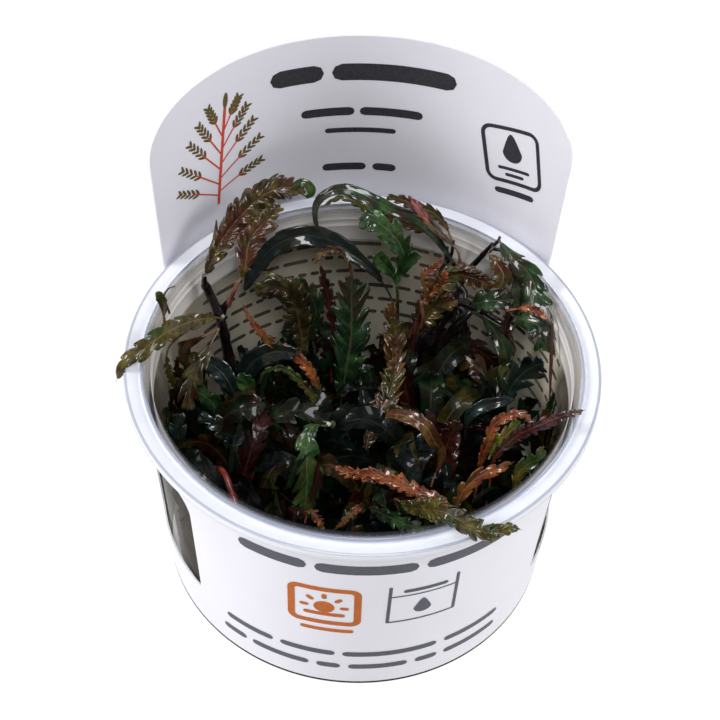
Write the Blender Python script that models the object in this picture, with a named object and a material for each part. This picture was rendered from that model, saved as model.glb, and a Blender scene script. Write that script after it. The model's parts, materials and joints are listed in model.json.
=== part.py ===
"""A clear plastic cup of aquarium plants grown in gel, in a printed card sleeve with a tall back panel.

The cup stands on z = 0 with its axis on Z. The sleeve's back panel is on the +Y side. Angles round the cup
are measured in degrees from +Y towards +X. Lengths in the tables are in millimetres.
"""

from math import cos, pi, radians, sin, sqrt

import bmesh
import bpy
from mathutils import Matrix, Vector

MM = 0.001

# Driving dimensions, in millimetres
RIM_RADIUS = 50.5
MOUTH_RADIUS = 44.9
RIM_TOP = 59.3
CUP_BASE_RADIUS = 42.9
WALL_SLOPE = 0.055
CUP_WALL = 1.1
CUP_FLOOR = 1.2
STEP_HEIGHT = 48.0
STEP_DROP = 0.7
STEP_DEPTH = 0.2
FOOT_CHAMFER = 1.5
BASE_EDGE = 0.5
BEAD_HEIGHT = 0.7
BEAD_WIDTH = 2.0
FLANGE_THICKNESS = 1.1
FLANGE_LIP = 1.0
FLANGE_ROUND = 0.6
CUP_STEPS = 56

SLEEVE_BASE_RADIUS = 43.3
SLEEVE_SLOPE = 0.057
SLEEVE_THICKNESS = 0.4
SLEEVE_BOTTOM = 1.0
SLEEVE_TOP = 55.0
PANEL_FLARE = 0.078
FLARE_FULL_ANGLE = 58.0
FLARE_END_ANGLE = 102.0
PANEL_BEND_HEIGHT = 58.0
PANEL_LEAN = 0.06
PANEL_HALF_ANGLE = 56.8
PANEL_SHOULDER = 86.0
PANEL_TOP = 102.2
PANEL_WIDTH_POWER = 2.6
PANEL_HEIGHT_POWER = 2.8

WINDOW_BACK_ANGLE = 95.0
WINDOW_LEFT_FRONT_ANGLE = 127.5
WINDOW_RIGHT_FRONT_ANGLE = 122.0
WINDOW_BOTTOM = 14.2
WINDOW_TOP = 47.2
WINDOW_CORNER = 5.0
WINDOW_LOWER_CORNER = 1.5
CORNER_STEPS = 3
SLEEVE_COLUMN_ANGLE = 7.6
PANEL_CORNER_SHARES = (0.86, 0.93, 0.97, 0.99, 1.0)

GEL_RADIUS = 41.3
GEL_BOTTOM = 1.6
GEL_TOP = 11.0
GEL_EDGE = 0.6
GEL_CREEP = 0.2
GEL_FOOT = 1.6
MOUND_BOTTOM = 11.4
MOUND_RADIUS = 41.0
MOUND_EDGE_HEIGHT = 13.0
MOUND_HEIGHT = 15.0
MOUND_BUMP = 1.0
MOUND_STEPS = 32
MOUND_RING_SHARES = (0.28, 0.55, 0.8)

LEAF_THICKNESS = 0.7
LEAF_STATION_SPACING = 2.4
FEWEST_STATIONS = 5
MOST_STATIONS = 17
CURVE_STEPS = 80
NOTCH_DEPTH = 0.22
STALK_WIDTH = 0.9
TIP_WIDTH = 0.5
STEM_SIDES = 6
STEM_STATION_SPACING = 5.0
FEWEST_STEM_STATIONS = 4
LIGHT = Vector((0.0, -0.66, 0.75))

# Colours are linear red, green and blue
CUP_COLOUR = (0.78, 0.79, 0.86)
CARD_COLOUR = (0.82, 0.81, 0.88)
GEL_COLOUR = (0.05, 0.045, 0.03)
MOUND_COLOUR = (0.006, 0.012, 0.008)
STEM_COLOURS = {"black": (0.008, 0.006, 0.006), "red": (0.12, 0.022, 0.014), "green": (0.03, 0.05, 0.015)}
LEAF_COLOURS = {
    "dark_green": (0.012, 0.035, 0.012),
    "teal": (0.006, 0.02, 0.018),
    "olive": (0.055, 0.05, 0.01),
    "brown": (0.06, 0.03, 0.012),
    "orange": (0.2, 0.055, 0.012),
    "burgundy": (0.05, 0.008, 0.008),
    "green": (0.03, 0.09, 0.012),
    "pink": (0.22, 0.05, 0.045),
}

# Each leaf: its midrib's route from the ground or its stem to its tip, its greatest width, the share of the
# route that is bare stalk, and its tint
LEAVES = {
    "leaf_tall_left": ([(-34, 25, 58), (-32, 27, 62), (-29, 31, 66), (-24, 35, 70), (-19, 38, 72),
                        (-14, 39, 72), (-11, 40, 69)], 5.6, 0.03, "olive"),
    "leaf_tall_left_inner": ([(-29, 25, 51), (-27, 24, 56), (-25, 25, 61), (-24, 28, 66), (-21, 31, 69),
                              (-17, 35, 71)], 4.6, 0.3, "brown"),
    "leaf_over_left_rim": ([(-30, 20, 50), (-32, 16, 55), (-37, 11, 59), (-42, 5, 62), (-46, 1, 62),
                            (-50, -2, 61), (-52, -4, 57)], 4.2, 0.15, "olive"),
    "leaf_left_spike": ([(-42, 8, 64), (-42, 9, 67), (-43, 9, 71)], 1.9, 0.0, "olive"),
    "leaf_left_hanging": ([(-31, 19, 48), (-34, 14, 51), (-38, 14, 49), (-39, 15, 45), (-39, 16, 40)],
                          3.0, 0.3, "orange"),
    "leaf_left_twig": ([(-39, 10, 56), (-42, 10, 51), (-42, 9, 45), (-41, 9, 39)], 1.8, 0.4, "olive"),
    "leaf_strap_arch": ([(10, 30, 17), (10, 33, 30), (9, 34, 40), (5, 35, 48), (-1, 36, 54), (-5, 37, 57),
                         (-12, 37, 59), (-18, 36, 57), (-22, 34, 53), (-26, 31, 46)], 4.0, 0.4, "teal"),
    "leaf_long_arch": ([(22, 33, 53), (20, 33, 58), (14, 33, 67), (7, 32, 72), (0, 34, 75), (-5, 35, 75),
                        (-9, 35, 71), (-9, 33, 66), (-6, 31, 63)], 3.2, 0.03, "dark_green"),
    "leaf_low_arch": ([(21, 37, 54), (18, 38, 58), (14, 38, 60), (8, 39, 62), (3, 40, 64), (-3, 42, 66),
                       (-8, 42, 63)], 2.3, 0.05, "olive"),
    "leaf_upper_arch": ([(22, 35, 58), (20, 37, 62), (17, 38, 65), (13, 38, 67), (10, 38, 69), (6, 38, 70)],
                        2.4, 0.15, "brown"),
    "leaf_pink_tip": ([(23, 29, 58), (22, 28, 63), (18, 28, 68), (15, 28, 72), (12, 28, 76), (11, 28, 79)],
                      1.9, 0.3, "pink"),
    "leaf_bright_back": ([(9, 27, 52), (9, 28, 57), (10, 28, 62), (8, 28, 67), (5, 29, 70), (2, 30, 71),
                          (0, 31, 68)], 6.0, 0.03, "green"),
    "leaf_red_sprig": ([(14, 21, 53), (15, 20, 57), (14, 21, 62), (16, 21, 65), (18, 21, 68)],
                       2.0, 0.2, "orange"),
    "leaf_crinkled_arch": ([(17, 27, 42), (16, 26, 47), (17, 26, 53), (21, 26, 57), (24, 25, 58),
                            (28, 24, 57), (30, 23, 55)], 4.2, 0.1, "brown"),
    "leaf_right_crown": ([(31, 28, 66), (34, 23, 65), (37, 21, 63), (39, 18, 60), (41, 15, 58)],
                         4.4, 0.03, "dark_green"),
    "leaf_right_wall_strand": ([(42, 12, 57), (42, 9, 53), (42, 6, 48), (42, 2, 42)], 1.0, 0.0, "burgundy"),
    "leaf_crown_brown": ([(29, 28, 62), (30, 25, 63), (32, 23, 60), (31, 22, 57)], 3.6, 0.1, "orange"),
    "leaf_crown_thin": ([(35, 25, 62), (35, 25, 58), (36, 24, 55), (37, 24, 51)], 1.8, 0.2, "orange"),
    "leaf_right_frill": ([(33, 19, 53), (36, 16, 57), (39, 14, 58), (41, 12, 57)], 1.8, 0.3, "orange"),
    "leaf_right_cluster": ([(25, 28, 47), (27, 24, 50), (29, 22, 53), (34, 21, 54)], 3.8, 0.2, "dark_green"),
    "leaf_right_drooping": ([(35, 20, 45), (36, 18, 51), (39, 15, 53), (41, 12, 52), (41, 10, 49)],
                            4.4, 0.2, "dark_green"),
    "leaf_long_brown": ([(0, -4, 17), (1, -3, 26), (2, 1, 30), (5, 8, 31), (8, 14, 33), (9, 19, 36),
                         (9, 23, 40), (8, 26, 45), (8, 26, 50)], 5.8, 0.2, "brown"),
    "leaf_orange_slope": ([(-5, 16, 17), (-7, 15, 25), (-9, 16, 31), (-11, 17, 36), (-15, 18, 41),
                           (-20, 18, 45), (-24, 20, 50), (-26, 22, 54)], 2.5, 0.15, "orange"),
    "leaf_small_arch": ([(-8, 11, 17), (-8, 12, 25), (-10, 12, 32), (-14, 13, 38), (-17, 14, 40),
                         (-21, 13, 40), (-22, 12, 37)], 2.0, 0.15, "olive"),
    "leaf_centre_upright": ([(-3, 20, 17), (-3, 20, 21), (-2, 22, 30), (-1, 25, 38), (-1, 28, 46),
                             (-1, 31, 53)], 8.6, 0.1, "dark_green"),
    "leaf_lilac_arch": ([(-2, 30, 57), (-4, 31, 60), (-7, 31, 60), (-10, 30, 57)], 1.8, 0.0, "pink"),
    "leaf_back_green": ([(-9, 29, 17), (-9, 30, 26), (-10, 30, 34), (-9, 31, 41), (-11, 32, 46),
                         (-14, 33, 50)], 4.6, 0.4, "dark_green"),
    "leaf_back_burgundy": ([(-5, 29, 17), (-5, 31, 26), (-5, 32, 35), (-6, 33, 42), (-7, 34, 47),
                            (-8, 35, 52)], 2.6, 0.4, "burgundy"),
    "leaf_back_crinkled": ([(-12, 24, 17), (-12, 25, 25), (-12, 26, 33), (-13, 27, 41), (-14, 28, 46),
                            (-16, 28, 51), (-20, 28, 52), (-23, 29, 48)], 6.4, 0.3, "olive"),
    "leaf_front_hanging": ([(-7, -1, 38), (-11, -5, 42), (-12, -10, 39), (-12, -14, 32), (-13, -17, 24)],
                           6.0, 0.1, "green"),
    "leaf_left_grey_strap": ([(-30, -6, 17), (-29, -5, 25), (-28, -3, 29), (-26, 1, 33), (-24, 4, 36),
                              (-22, 8, 38)], 2.9, 0.3, "teal"),
    "leaf_left_green_lobe": ([(-23, 12, 17), (-24, 11, 27), (-25, 11, 37), (-26, 11, 42)],
                             3.4, 0.65, "green"),
    "leaf_left_wall_teal": ([(-37, -6, 17), (-38, -5, 24), (-39, -4, 30), (-40, -2, 36), (-40, 0, 42)],
                            4.0, 0.4, "teal"),
    "leaf_left_dark_blade": ([(-27, 15, 17), (-27, 14, 25), (-28, 13, 33), (-31, 15, 38), (-35, 16, 41)],
                             3.6, 0.45, "teal"),
    "leaf_left_dark_low": ([(-30, 9, 17), (-30, 9, 25), (-33, 10, 33), (-38, 10, 39), (-41, 10, 42)],
                           3.0, 0.3, "dark_green"),
    "leaf_front_frilly": ([(14, -32, 17), (16, -35, 35), (17, -36, 50), (14, -34, 55), (11, -32, 54),
                           (7, -28, 52), (2, -24, 50), (-2, -22, 48), (-7, -17, 44)], 3.6, 0.5, "orange"),
    "leaf_over_front_rim": ([(9, -21, 17), (8, -22, 32), (6, -25, 43), (8, -32, 50), (11, -38, 57),
                             (14, -43, 63), (18, -46, 63), (22, -48, 63), (26, -47, 63), (29, -46, 61)],
                            5.0, 0.45, "olive"),
    "leaf_front_inner": ([(-1, -18, 17), (-1, -19, 27), (1, -21, 34), (5, -26, 38), (9, -32, 43),
                          (13, -36, 47)], 3.6, 0.4, "dark_green"),
    "leaf_front_thin": ([(-3, -21, 17), (-2, -22, 30), (-1, -24, 39), (-4, -29, 42), (-7, -34, 45)],
                        1.6, 0.5, "orange"),
    "leaf_front_short": ([(-14, -25, 17), (-13, -24, 30), (-12, -24, 38), (-10, -28, 40), (-9, -32, 42)],
                         2.0, 0.6, "orange"),
    "leaf_right_orange_low": ([(18, -23, 17), (19, -24, 30), (20, -24, 42), (23, -23, 47), (26, -22, 48),
                               (31, -21, 50)], 3.0, 0.5, "orange"),
    "leaf_right_orange_arch": ([(24, -14, 17), (25, -15, 32), (25, -16, 44), (26, -16, 50), (27, -15, 55),
                                (30, -15, 58), (33, -14, 57), (36, -14, 52)], 2.4, 0.45, "orange"),
    "leaf_over_right_rim": ([(26, -19, 17), (27, -19, 35), (27, -19, 48), (31, -19, 56), (34, -20, 60),
                             (37, -20, 62), (40, -20, 64), (45, -17, 62)], 2.8, 0.5, "burgundy"),
    "leaf_right_yellow": ([(30, -18, 17), (31, -19, 31), (32, -21, 42), (33, -20, 46), (36, -20, 50),
                           (37, -19, 53)], 3.2, 0.6, "olive"),
    "leaf_centre_grey": ([(25, 1, 17), (24, 1, 28), (24, 0, 38), (26, 0, 42), (30, 0, 44), (34, 1, 44)],
                         2.8, 0.5, "teal"),
    "leaf_centre_brick": ([(20, -7, 17), (20, -4, 28), (21, -1, 31), (19, 2, 35)], 4.2, 0.15, "burgundy"),
    "leaf_right_olive_strip": ([(31, 14, 17), (32, 16, 26), (33, 16, 30), (34, 18, 34), (36, 20, 38)],
                               2.4, 0.35, "olive"),
    "leaf_right_teal": ([(33, 10, 17), (34, 10, 28), (35, 11, 36), (38, 11, 42), (41, 8, 48)],
                        4.6, 0.5, "teal"),
    "leaf_centre_arch": ([(16, -9, 17), (16, -9, 26), (18, -6, 33), (16, -6, 38), (14, -5, 42),
                          (10, -2, 42), (5, 3, 37)], 3.2, 0.3, "brown"),
    "leaf_centre_low_green": ([(15, 3, 17), (16, 2, 25), (16, 1, 31), (13, 3, 34), (9, 8, 29)],
                              2.8, 0.4, "green"),
}

# Each stem: its route from the ground up, its radius at the ground, its radius at the top and its tint
STEMS = {
    "stem_left": ([(-27, 22, 17), (-28, 21, 24), (-29, 22, 33), (-30, 23, 41), (-31, 24, 47), (-33, 26, 52),
                   (-34, 26, 55)], 1.5, 0.8, "black"),
    "stem_back": ([(20, 36, 17), (20, 37, 27), (20, 37, 38), (20, 37, 46), (21, 36, 51)], 0.8, 0.6, "black"),
    "stem_right": ([(14, 26, 17), (15, 28, 30), (19, 29, 38), (22, 30, 44), (25, 32, 51), (28, 31, 58),
                    (30, 30, 63)], 1.6, 1.0, "black"),
    "stem_right_loop": ([(23, 27, 17), (29, 26, 23), (34, 24, 30), (36, 22, 36), (34, 23, 43)],
                        1.2, 1.0, "red"),
    "stem_centre": ([(-3, 12, 17), (-4, 9, 25), (-5, 4, 32), (-6, 1, 36)], 1.1, 0.7, "green"),
}


def clear_scene():
    """Removes every object that is already in the scene."""
    for obj in list(bpy.data.objects):
        bpy.data.objects.remove(obj)


def make_material(name, colour, roughness, alpha=1.0):
    """A Principled material of one colour."""
    material = bpy.data.materials.new(name)
    material.use_nodes = True
    shader = material.node_tree.nodes["Principled BSDF"]
    shader.inputs["Base Color"].default_value = (*colour, 1.0)
    shader.inputs["Roughness"].default_value = roughness
    shader.inputs["Metallic"].default_value = 0.0
    shader.inputs["Alpha"].default_value = alpha
    return material


def add_object(name, points_mm, faces, material):
    """A mesh object from points in millimetres, with its faces turned outwards."""
    mesh = bpy.data.meshes.new(name)
    mesh.from_pydata([Vector(point) * MM for point in points_mm], [], faces)
    shape = bmesh.new()
    shape.from_mesh(mesh)
    bmesh.ops.recalc_face_normals(shape, faces=shape.faces)
    shape.to_mesh(mesh)
    shape.free()
    mesh.materials.append(material)
    obj = bpy.data.objects.new(name, mesh)
    bpy.context.scene.collection.objects.link(obj)
    return obj


def turned(name, profile_mm, steps, material):
    """A solid turned from a profile of (radius, height) that starts and ends on the Z axis."""
    mesh = bpy.data.meshes.new(name)
    edges = [(i, i + 1) for i in range(len(profile_mm) - 1)]
    mesh.from_pydata([(r * MM, 0.0, z * MM) for r, z in profile_mm], edges, [])
    mesh.materials.append(material)
    obj = bpy.data.objects.new(name, mesh)
    bpy.context.scene.collection.objects.link(obj)
    screw = obj.modifiers.new("Turn", "SCREW")
    screw.axis = "Z"
    screw.steps = steps
    screw.render_steps = steps
    screw.use_merge_vertices = True
    screw.merge_threshold = 0.0001
    screw.use_smooth_shade = True
    return obj


def cup_outer(z):
    """The outer radius of the cup's wall at height z."""
    return CUP_BASE_RADIUS + WALL_SLOPE * z


def make_cup():
    """The cup: a tapered wall with a small inner step, a raised bead round the mouth and a flat flange."""
    flange_bottom = RIM_TOP - FLANGE_THICKNESS
    lip_bottom = flange_bottom - FLANGE_LIP
    step_bottom = STEP_HEIGHT - STEP_DROP
    bead_top = RIM_TOP + BEAD_HEIGHT
    profile = [
        (0.0, CUP_FLOOR),
        (cup_outer(CUP_FLOOR) - CUP_WALL - FOOT_CHAMFER, CUP_FLOOR),
        (cup_outer(CUP_FLOOR + FOOT_CHAMFER) - CUP_WALL, CUP_FLOOR + FOOT_CHAMFER),
        (cup_outer(step_bottom) - CUP_WALL - STEP_DEPTH, step_bottom),
        (cup_outer(STEP_HEIGHT) - CUP_WALL + STEP_DEPTH, STEP_HEIGHT),
        (MOUTH_RADIUS, flange_bottom),
        (MOUTH_RADIUS + 0.15 * BEAD_WIDTH, bead_top - 0.4 * BEAD_HEIGHT),
        (MOUTH_RADIUS + 0.4 * BEAD_WIDTH, bead_top),
        (MOUTH_RADIUS + 0.75 * BEAD_WIDTH, bead_top - 0.15 * BEAD_HEIGHT),
        (MOUTH_RADIUS + BEAD_WIDTH, RIM_TOP),
        (RIM_RADIUS - FLANGE_ROUND, RIM_TOP),
        (RIM_RADIUS, RIM_TOP - FLANGE_ROUND),
        (RIM_RADIUS, lip_bottom),
        (RIM_RADIUS - FLANGE_LIP, lip_bottom),
        (RIM_RADIUS - FLANGE_LIP, flange_bottom),
        (cup_outer(flange_bottom), flange_bottom),
        (cup_outer(FOOT_CHAMFER), FOOT_CHAMFER),
        (cup_outer(0.0) - BASE_EDGE, BASE_EDGE),
        (cup_outer(0.0) - FOOT_CHAMFER, 0.0),
        (0.0, 0.0),
    ]
    turned("cup", profile, CUP_STEPS, make_material("cup_plastic", CUP_COLOUR, 0.22, 0.5))


def flare_share(angle):
    """1 behind the panel, 0 in front, eased between the two flare angles."""
    span = FLARE_END_ANGLE - FLARE_FULL_ANGLE
    share = min(max((abs(angle) - FLARE_FULL_ANGLE) / span, 0.0), 1.0)
    return 1.0 - share * share * (3.0 - 2.0 * share)


def sleeve_radius(angle, z):
    """The sleeve's inner radius: close to the cup in front, wider behind so that the panel clears the rim."""
    slope = SLEEVE_SLOPE + PANEL_FLARE * flare_share(angle)
    below, above = min(z, PANEL_BEND_HEIGHT), max(z - PANEL_BEND_HEIGHT, 0.0)
    return SLEEVE_BASE_RADIUS + slope * below + PANEL_LEAN * above


def panel_top(angle):
    """The height of the back panel's rounded outline."""
    across = min(abs(angle) / PANEL_HALF_ANGLE, 1.0) ** PANEL_WIDTH_POWER
    return PANEL_SHOULDER + (PANEL_TOP - PANEL_SHOULDER) * (1.0 - across) ** (1.0 / PANEL_HEIGHT_POWER)


def window_inset(angle, start, end, radius):
    """How far corners of this radius take the window's edge in at this angle."""
    per_degree = radians(1.0) * SLEEVE_BASE_RADIUS
    from_end = min(angle - start, end - angle) * per_degree
    short = radius - min(max(from_end, 0.0), radius)
    return radius - sqrt(radius ** 2 - short ** 2)


def corner_angles(start, end):
    """The columns inside a window: close together at its rounded corners."""
    corner = WINDOW_CORNER / (radians(1.0) * SLEEVE_BASE_RADIUS)
    steps = [corner * (1.0 - cos(pi / 2 * i / CORNER_STEPS)) for i in range(CORNER_STEPS + 1)]
    middle_count = round((end - start - 2 * corner) / SLEEVE_COLUMN_ANGLE)
    middle = [start + corner + (end - start - 2 * corner) * i / middle_count for i in range(1, middle_count)]
    return [start + s for s in steps] + middle + [end - s for s in reversed(steps)]


def evenly(start, end):
    """Angles between start and end, both left out, about one column apart."""
    count = max(round((end - start) / SLEEVE_COLUMN_ANGLE), 1)
    return [start + (end - start) * i / count for i in range(1, count)]


def sleeve_angles(windows):
    """Every column's angle once round the sleeve, from the panel's middle."""
    side = [PANEL_HALF_ANGLE * share for share in PANEL_CORNER_SHARES]
    angles = evenly(-side[0], side[0]) + side + [-angle for angle in side]
    (left_start, left_end), (right_start, right_end) = windows
    angles += corner_angles(left_start, left_end) + corner_angles(right_start, right_end)
    angles += evenly(left_end, -side[-1]) + evenly(side[-1], right_start)
    angles += evenly(right_end, 360.0 + left_start)
    return sorted((angle + 180.0) % 360.0 - 180.0 for angle in angles)


def column_heights(angle, windows):
    """The heights at which the sleeve's strips meet in this column."""
    upper, lower = WINDOW_CORNER, WINDOW_LOWER_CORNER
    for start, end in windows:
        if start - 1e-6 <= angle <= end + 1e-6:
            upper = window_inset(angle, start, end, WINDOW_CORNER)
            lower = window_inset(angle, start, end, WINDOW_LOWER_CORNER)
    heights = [SLEEVE_BOTTOM, WINDOW_BOTTOM + lower, WINDOW_TOP - upper, SLEEVE_TOP]
    if abs(angle) <= PANEL_HALF_ANGLE + 1e-6:
        heights += [PANEL_BEND_HEIGHT, panel_top(angle)]
    return heights


def in_window(angle, windows):
    """Whether the middle row of the sleeve is open at this angle."""
    return any(start < angle < end for start, end in windows)


def make_card_sleeve():
    """The printed card: a ring with two side windows and a rounded panel that rises behind the cup."""
    windows = [(-WINDOW_LEFT_FRONT_ANGLE, -WINDOW_BACK_ANGLE), (WINDOW_BACK_ANGLE, WINDOW_RIGHT_FRONT_ANGLE)]
    angles = sleeve_angles(windows)
    points = []
    columns = []
    for angle in angles:
        column = []
        for z in column_heights(angle, windows):
            column.append(len(points))
            r = sleeve_radius(angle, z)
            points.append((r * sin(radians(angle)), r * cos(radians(angle)), z))
        columns.append(column)
    faces = []
    for i, column in enumerate(columns):
        following = columns[(i + 1) % len(columns)]
        gap = (angles[(i + 1) % len(angles)] - angles[i]) % 360.0
        middle = angles[i] + gap / 2
        for row in range(min(len(column), len(following)) - 1):
            if row == 1 and in_window(middle, windows):
                continue
            faces.append((column[row], column[row + 1], following[row + 1], following[row]))
    sleeve = add_object("card_sleeve", points, faces, make_material("card", CARD_COLOUR, 0.35))
    thicken = sleeve.modifiers.new("Thickness", "SOLIDIFY")
    thicken.thickness = SLEEVE_THICKNESS * MM
    thicken.offset = 1.0
    thicken.use_even_offset = True


def make_gel():
    """The disc of growing gel that the roots stand in, its edge drawn up a little at the wall."""
    profile = [
        (0.0, GEL_TOP),
        (GEL_RADIUS - GEL_EDGE, GEL_TOP),
        (GEL_RADIUS, GEL_TOP + GEL_CREEP),
        (GEL_RADIUS, GEL_BOTTOM + GEL_FOOT),
        (GEL_RADIUS - GEL_FOOT, GEL_BOTTOM),
        (0.0, GEL_BOTTOM),
    ]
    turned("growth_gel", profile, MOUND_STEPS, make_material("gel", GEL_COLOUR, 0.15))


def mound_height(x, y):
    """The gently bumpy top of the low growth."""
    across = min((x * x + y * y) / MOUND_RADIUS ** 2, 1.0)
    bumps = MOUND_BUMP * sin(0.33 * x + 1.0) * cos(0.29 * y)
    return MOUND_HEIGHT + (MOUND_EDGE_HEIGHT - MOUND_HEIGHT) * across + bumps


def make_undergrowth():
    """The mat of short shoots and old leaves that covers the gel, as one low mound."""
    points = [(0.0, 0.0, mound_height(0.0, 0.0))]
    rings = [MOUND_RADIUS * share for share in MOUND_RING_SHARES] + [MOUND_RADIUS]
    for radius in rings:
        for i in range(MOUND_STEPS):
            x, y = radius * cos(2 * pi * i / MOUND_STEPS), radius * sin(2 * pi * i / MOUND_STEPS)
            points.append((x, y, mound_height(x, y)))
    for i in range(MOUND_STEPS):
        x, y = MOUND_RADIUS * cos(2 * pi * i / MOUND_STEPS), MOUND_RADIUS * sin(2 * pi * i / MOUND_STEPS)
        points.append((x, y, MOUND_BOTTOM))
    faces = []
    for i in range(MOUND_STEPS):
        j = (i + 1) % MOUND_STEPS
        faces.append((0, 1 + i, 1 + j))
        for ring in range(len(rings)):
            inner, outer = 1 + ring * MOUND_STEPS, 1 + (ring + 1) * MOUND_STEPS
            faces.append((inner + i, outer + i, outer + j, inner + j))
    last = 1 + len(rings) * MOUND_STEPS
    faces.append(tuple(last + i for i in reversed(range(MOUND_STEPS))))
    add_object("undergrowth", points, faces, make_material("undergrowth_leaves", MOUND_COLOUR, 0.4))


def curve_point(route, t):
    """A point of the smooth curve through the route, at t from 0 to 1."""
    position = t * (len(route) - 1)
    i = min(int(position), len(route) - 2)
    u = position - i
    p1, p2 = Vector(route[i]), Vector(route[i + 1])
    p0 = Vector(route[i - 1]) if i > 0 else p1 * 2 - p2
    p3 = Vector(route[i + 2]) if i + 2 < len(route) else p2 * 2 - p1
    return 0.5 * (2 * p1 + (p2 - p0) * u + (2 * p0 - 5 * p1 + 4 * p2 - p3) * u * u
                  + (3 * p1 - p0 - 3 * p2 + p3) * u ** 3)


def stations(route, count):
    """Points of the curve through the route, evenly spaced along it, and the direction at each."""
    fine = [curve_point(route, i / CURVE_STEPS) for i in range(CURVE_STEPS + 1)]
    along = [0.0]
    for a, b in zip(fine, fine[1:]):
        along.append(along[-1] + (b - a).length)
    points = []
    for i in range(count):
        target = along[-1] * i / (count - 1)
        j = min(max(k for k in range(CURVE_STEPS + 1) if along[k] <= target), CURVE_STEPS - 1)
        share = (target - along[j]) / (along[j + 1] - along[j])
        points.append(fine[j].lerp(fine[j + 1], share))
    tangents = [(points[min(i + 1, count - 1)] - points[max(i - 1, 0)]).normalized() for i in range(count)]
    return points, tangents, along[-1]


def carried_sides(tangents, start):
    """Side vectors square to the route, carried along it without twisting."""
    side = (start - tangents[0] * start.dot(tangents[0])).normalized()
    sides = [side]
    for before, after in zip(tangents, tangents[1:]):
        side = before.rotation_difference(after) @ side
        side = (side - after * side.dot(after)).normalized()
        sides.append(side)
    return sides


def blade_sides(tangents, middle):
    """Side vectors that turn the middle of the blade to the light, carried both ways from there."""
    start = tangents[middle].cross(LIGHT)
    after = carried_sides(tangents[middle:], start)
    before = carried_sides(tangents[middle::-1], start)
    return before[:0:-1] + after


def route_length(route):
    """The length of the curve through the route."""
    return stations(route, FEWEST_STATIONS)[2]


def add_swept(name, rings, material):
    """A closed solid through rings of points, each ring with the same number of points."""
    sides = len(rings[0])
    points = [point for ring in rings for point in ring]
    faces = [tuple(range(sides))[::-1], tuple(range(len(points) - sides, len(points)))]
    for row in range(len(rings) - 1):
        for i in range(sides):
            j = (i + 1) % sides
            faces.append((row * sides + i, row * sides + j, (row + 1) * sides + j, (row + 1) * sides + i))
    return add_object(name, points, faces, material)


def blade_half_width(t, width, stalk, notched):
    """Half the width at t: a bare stalk, then a blade that is drawn in at every notch of its margin."""
    if t <= stalk:
        return STALK_WIDTH / 2
    along = (t - stalk) / (1.0 - stalk)
    swell = max(sin(pi * along ** 0.85), 0.0) ** 0.7
    ends = STALK_WIDTH * (1.0 - along) + TIP_WIDTH * along
    notch = 1.0 - NOTCH_DEPTH if notched else 1.0
    return 0.5 * (ends + (width - ends) * swell * notch)


def make_leaf(name, route, width, stalk, material):
    """A leaf: a thin diamond section along its midrib, with a bare stalk and a blade that faces the light."""
    count = min(max(round(route_length(route) / LEAF_STATION_SPACING), FEWEST_STATIONS), MOST_STATIONS)
    points, tangents, _ = stations(route, count)
    sides = blade_sides(tangents, round(count * (1.0 + stalk) / 2))
    rings = []
    for i, (point, tangent, side) in enumerate(zip(points, tangents, sides)):
        half = blade_half_width(i / (count - 1), width, stalk, i % 2 == 0)
        up = side.cross(tangent) * (LEAF_THICKNESS / 2)
        rings.append((point + side * half, point + up, point - side * half, point - up))
    add_swept(name, rings, material)


def make_stem(name, route, base_radius, top_radius, material):
    """A tapered stem along its route."""
    count = max(round(route_length(route) / STEM_STATION_SPACING), FEWEST_STEM_STATIONS)
    points, tangents, _ = stations(route, count)
    sides = carried_sides(tangents, Vector((1.0, 0.0, 0.0)))
    rings = []
    for i, (point, tangent, side) in enumerate(zip(points, tangents, sides)):
        radius = base_radius + (top_radius - base_radius) * i / (count - 1)
        turn = [Matrix.Rotation(2 * pi * k / STEM_SIDES, 3, tangent) for k in range(STEM_SIDES)]
        rings.append([point + rotation @ side * radius for rotation in turn])
    add_swept(name, rings, material)


def main():
    clear_scene()
    make_cup()
    make_card_sleeve()
    make_gel()
    make_undergrowth()
    leaf_materials = {}
    for tint, colour in LEAF_COLOURS.items():
        leaf_materials[tint] = make_material("leaf_" + tint, colour, 0.2)
    stem_materials = {}
    for tint, colour in STEM_COLOURS.items():
        stem_materials[tint] = make_material("stem_" + tint, colour, 0.25)
    for name, (route, width, stalk, tint) in LEAVES.items():
        make_leaf(name, route, width, stalk, leaf_materials[tint])
    for name, (route, base_radius, top_radius, tint) in STEMS.items():
        make_stem(name, route, base_radius, top_radius, stem_materials[tint])


main()
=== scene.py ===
"""The looks of a plastic cup of aquarium plants grown in gel, in a printed card sleeve with a tall panel.

Lengths in the tables are in millimetres. Angles round the cup are in degrees from +Y towards +X, so that
the panel's middle is at 0 and the front is at 180.
"""

import json
import random
from collections import namedtuple
from math import ceil, cos, degrees, exp, pi, radians, sin, sqrt, tan

import bmesh
import bpy
from bpy.props import FloatProperty, FloatVectorProperty, IntProperty, PointerProperty
from mathutils import Matrix, Vector

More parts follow.
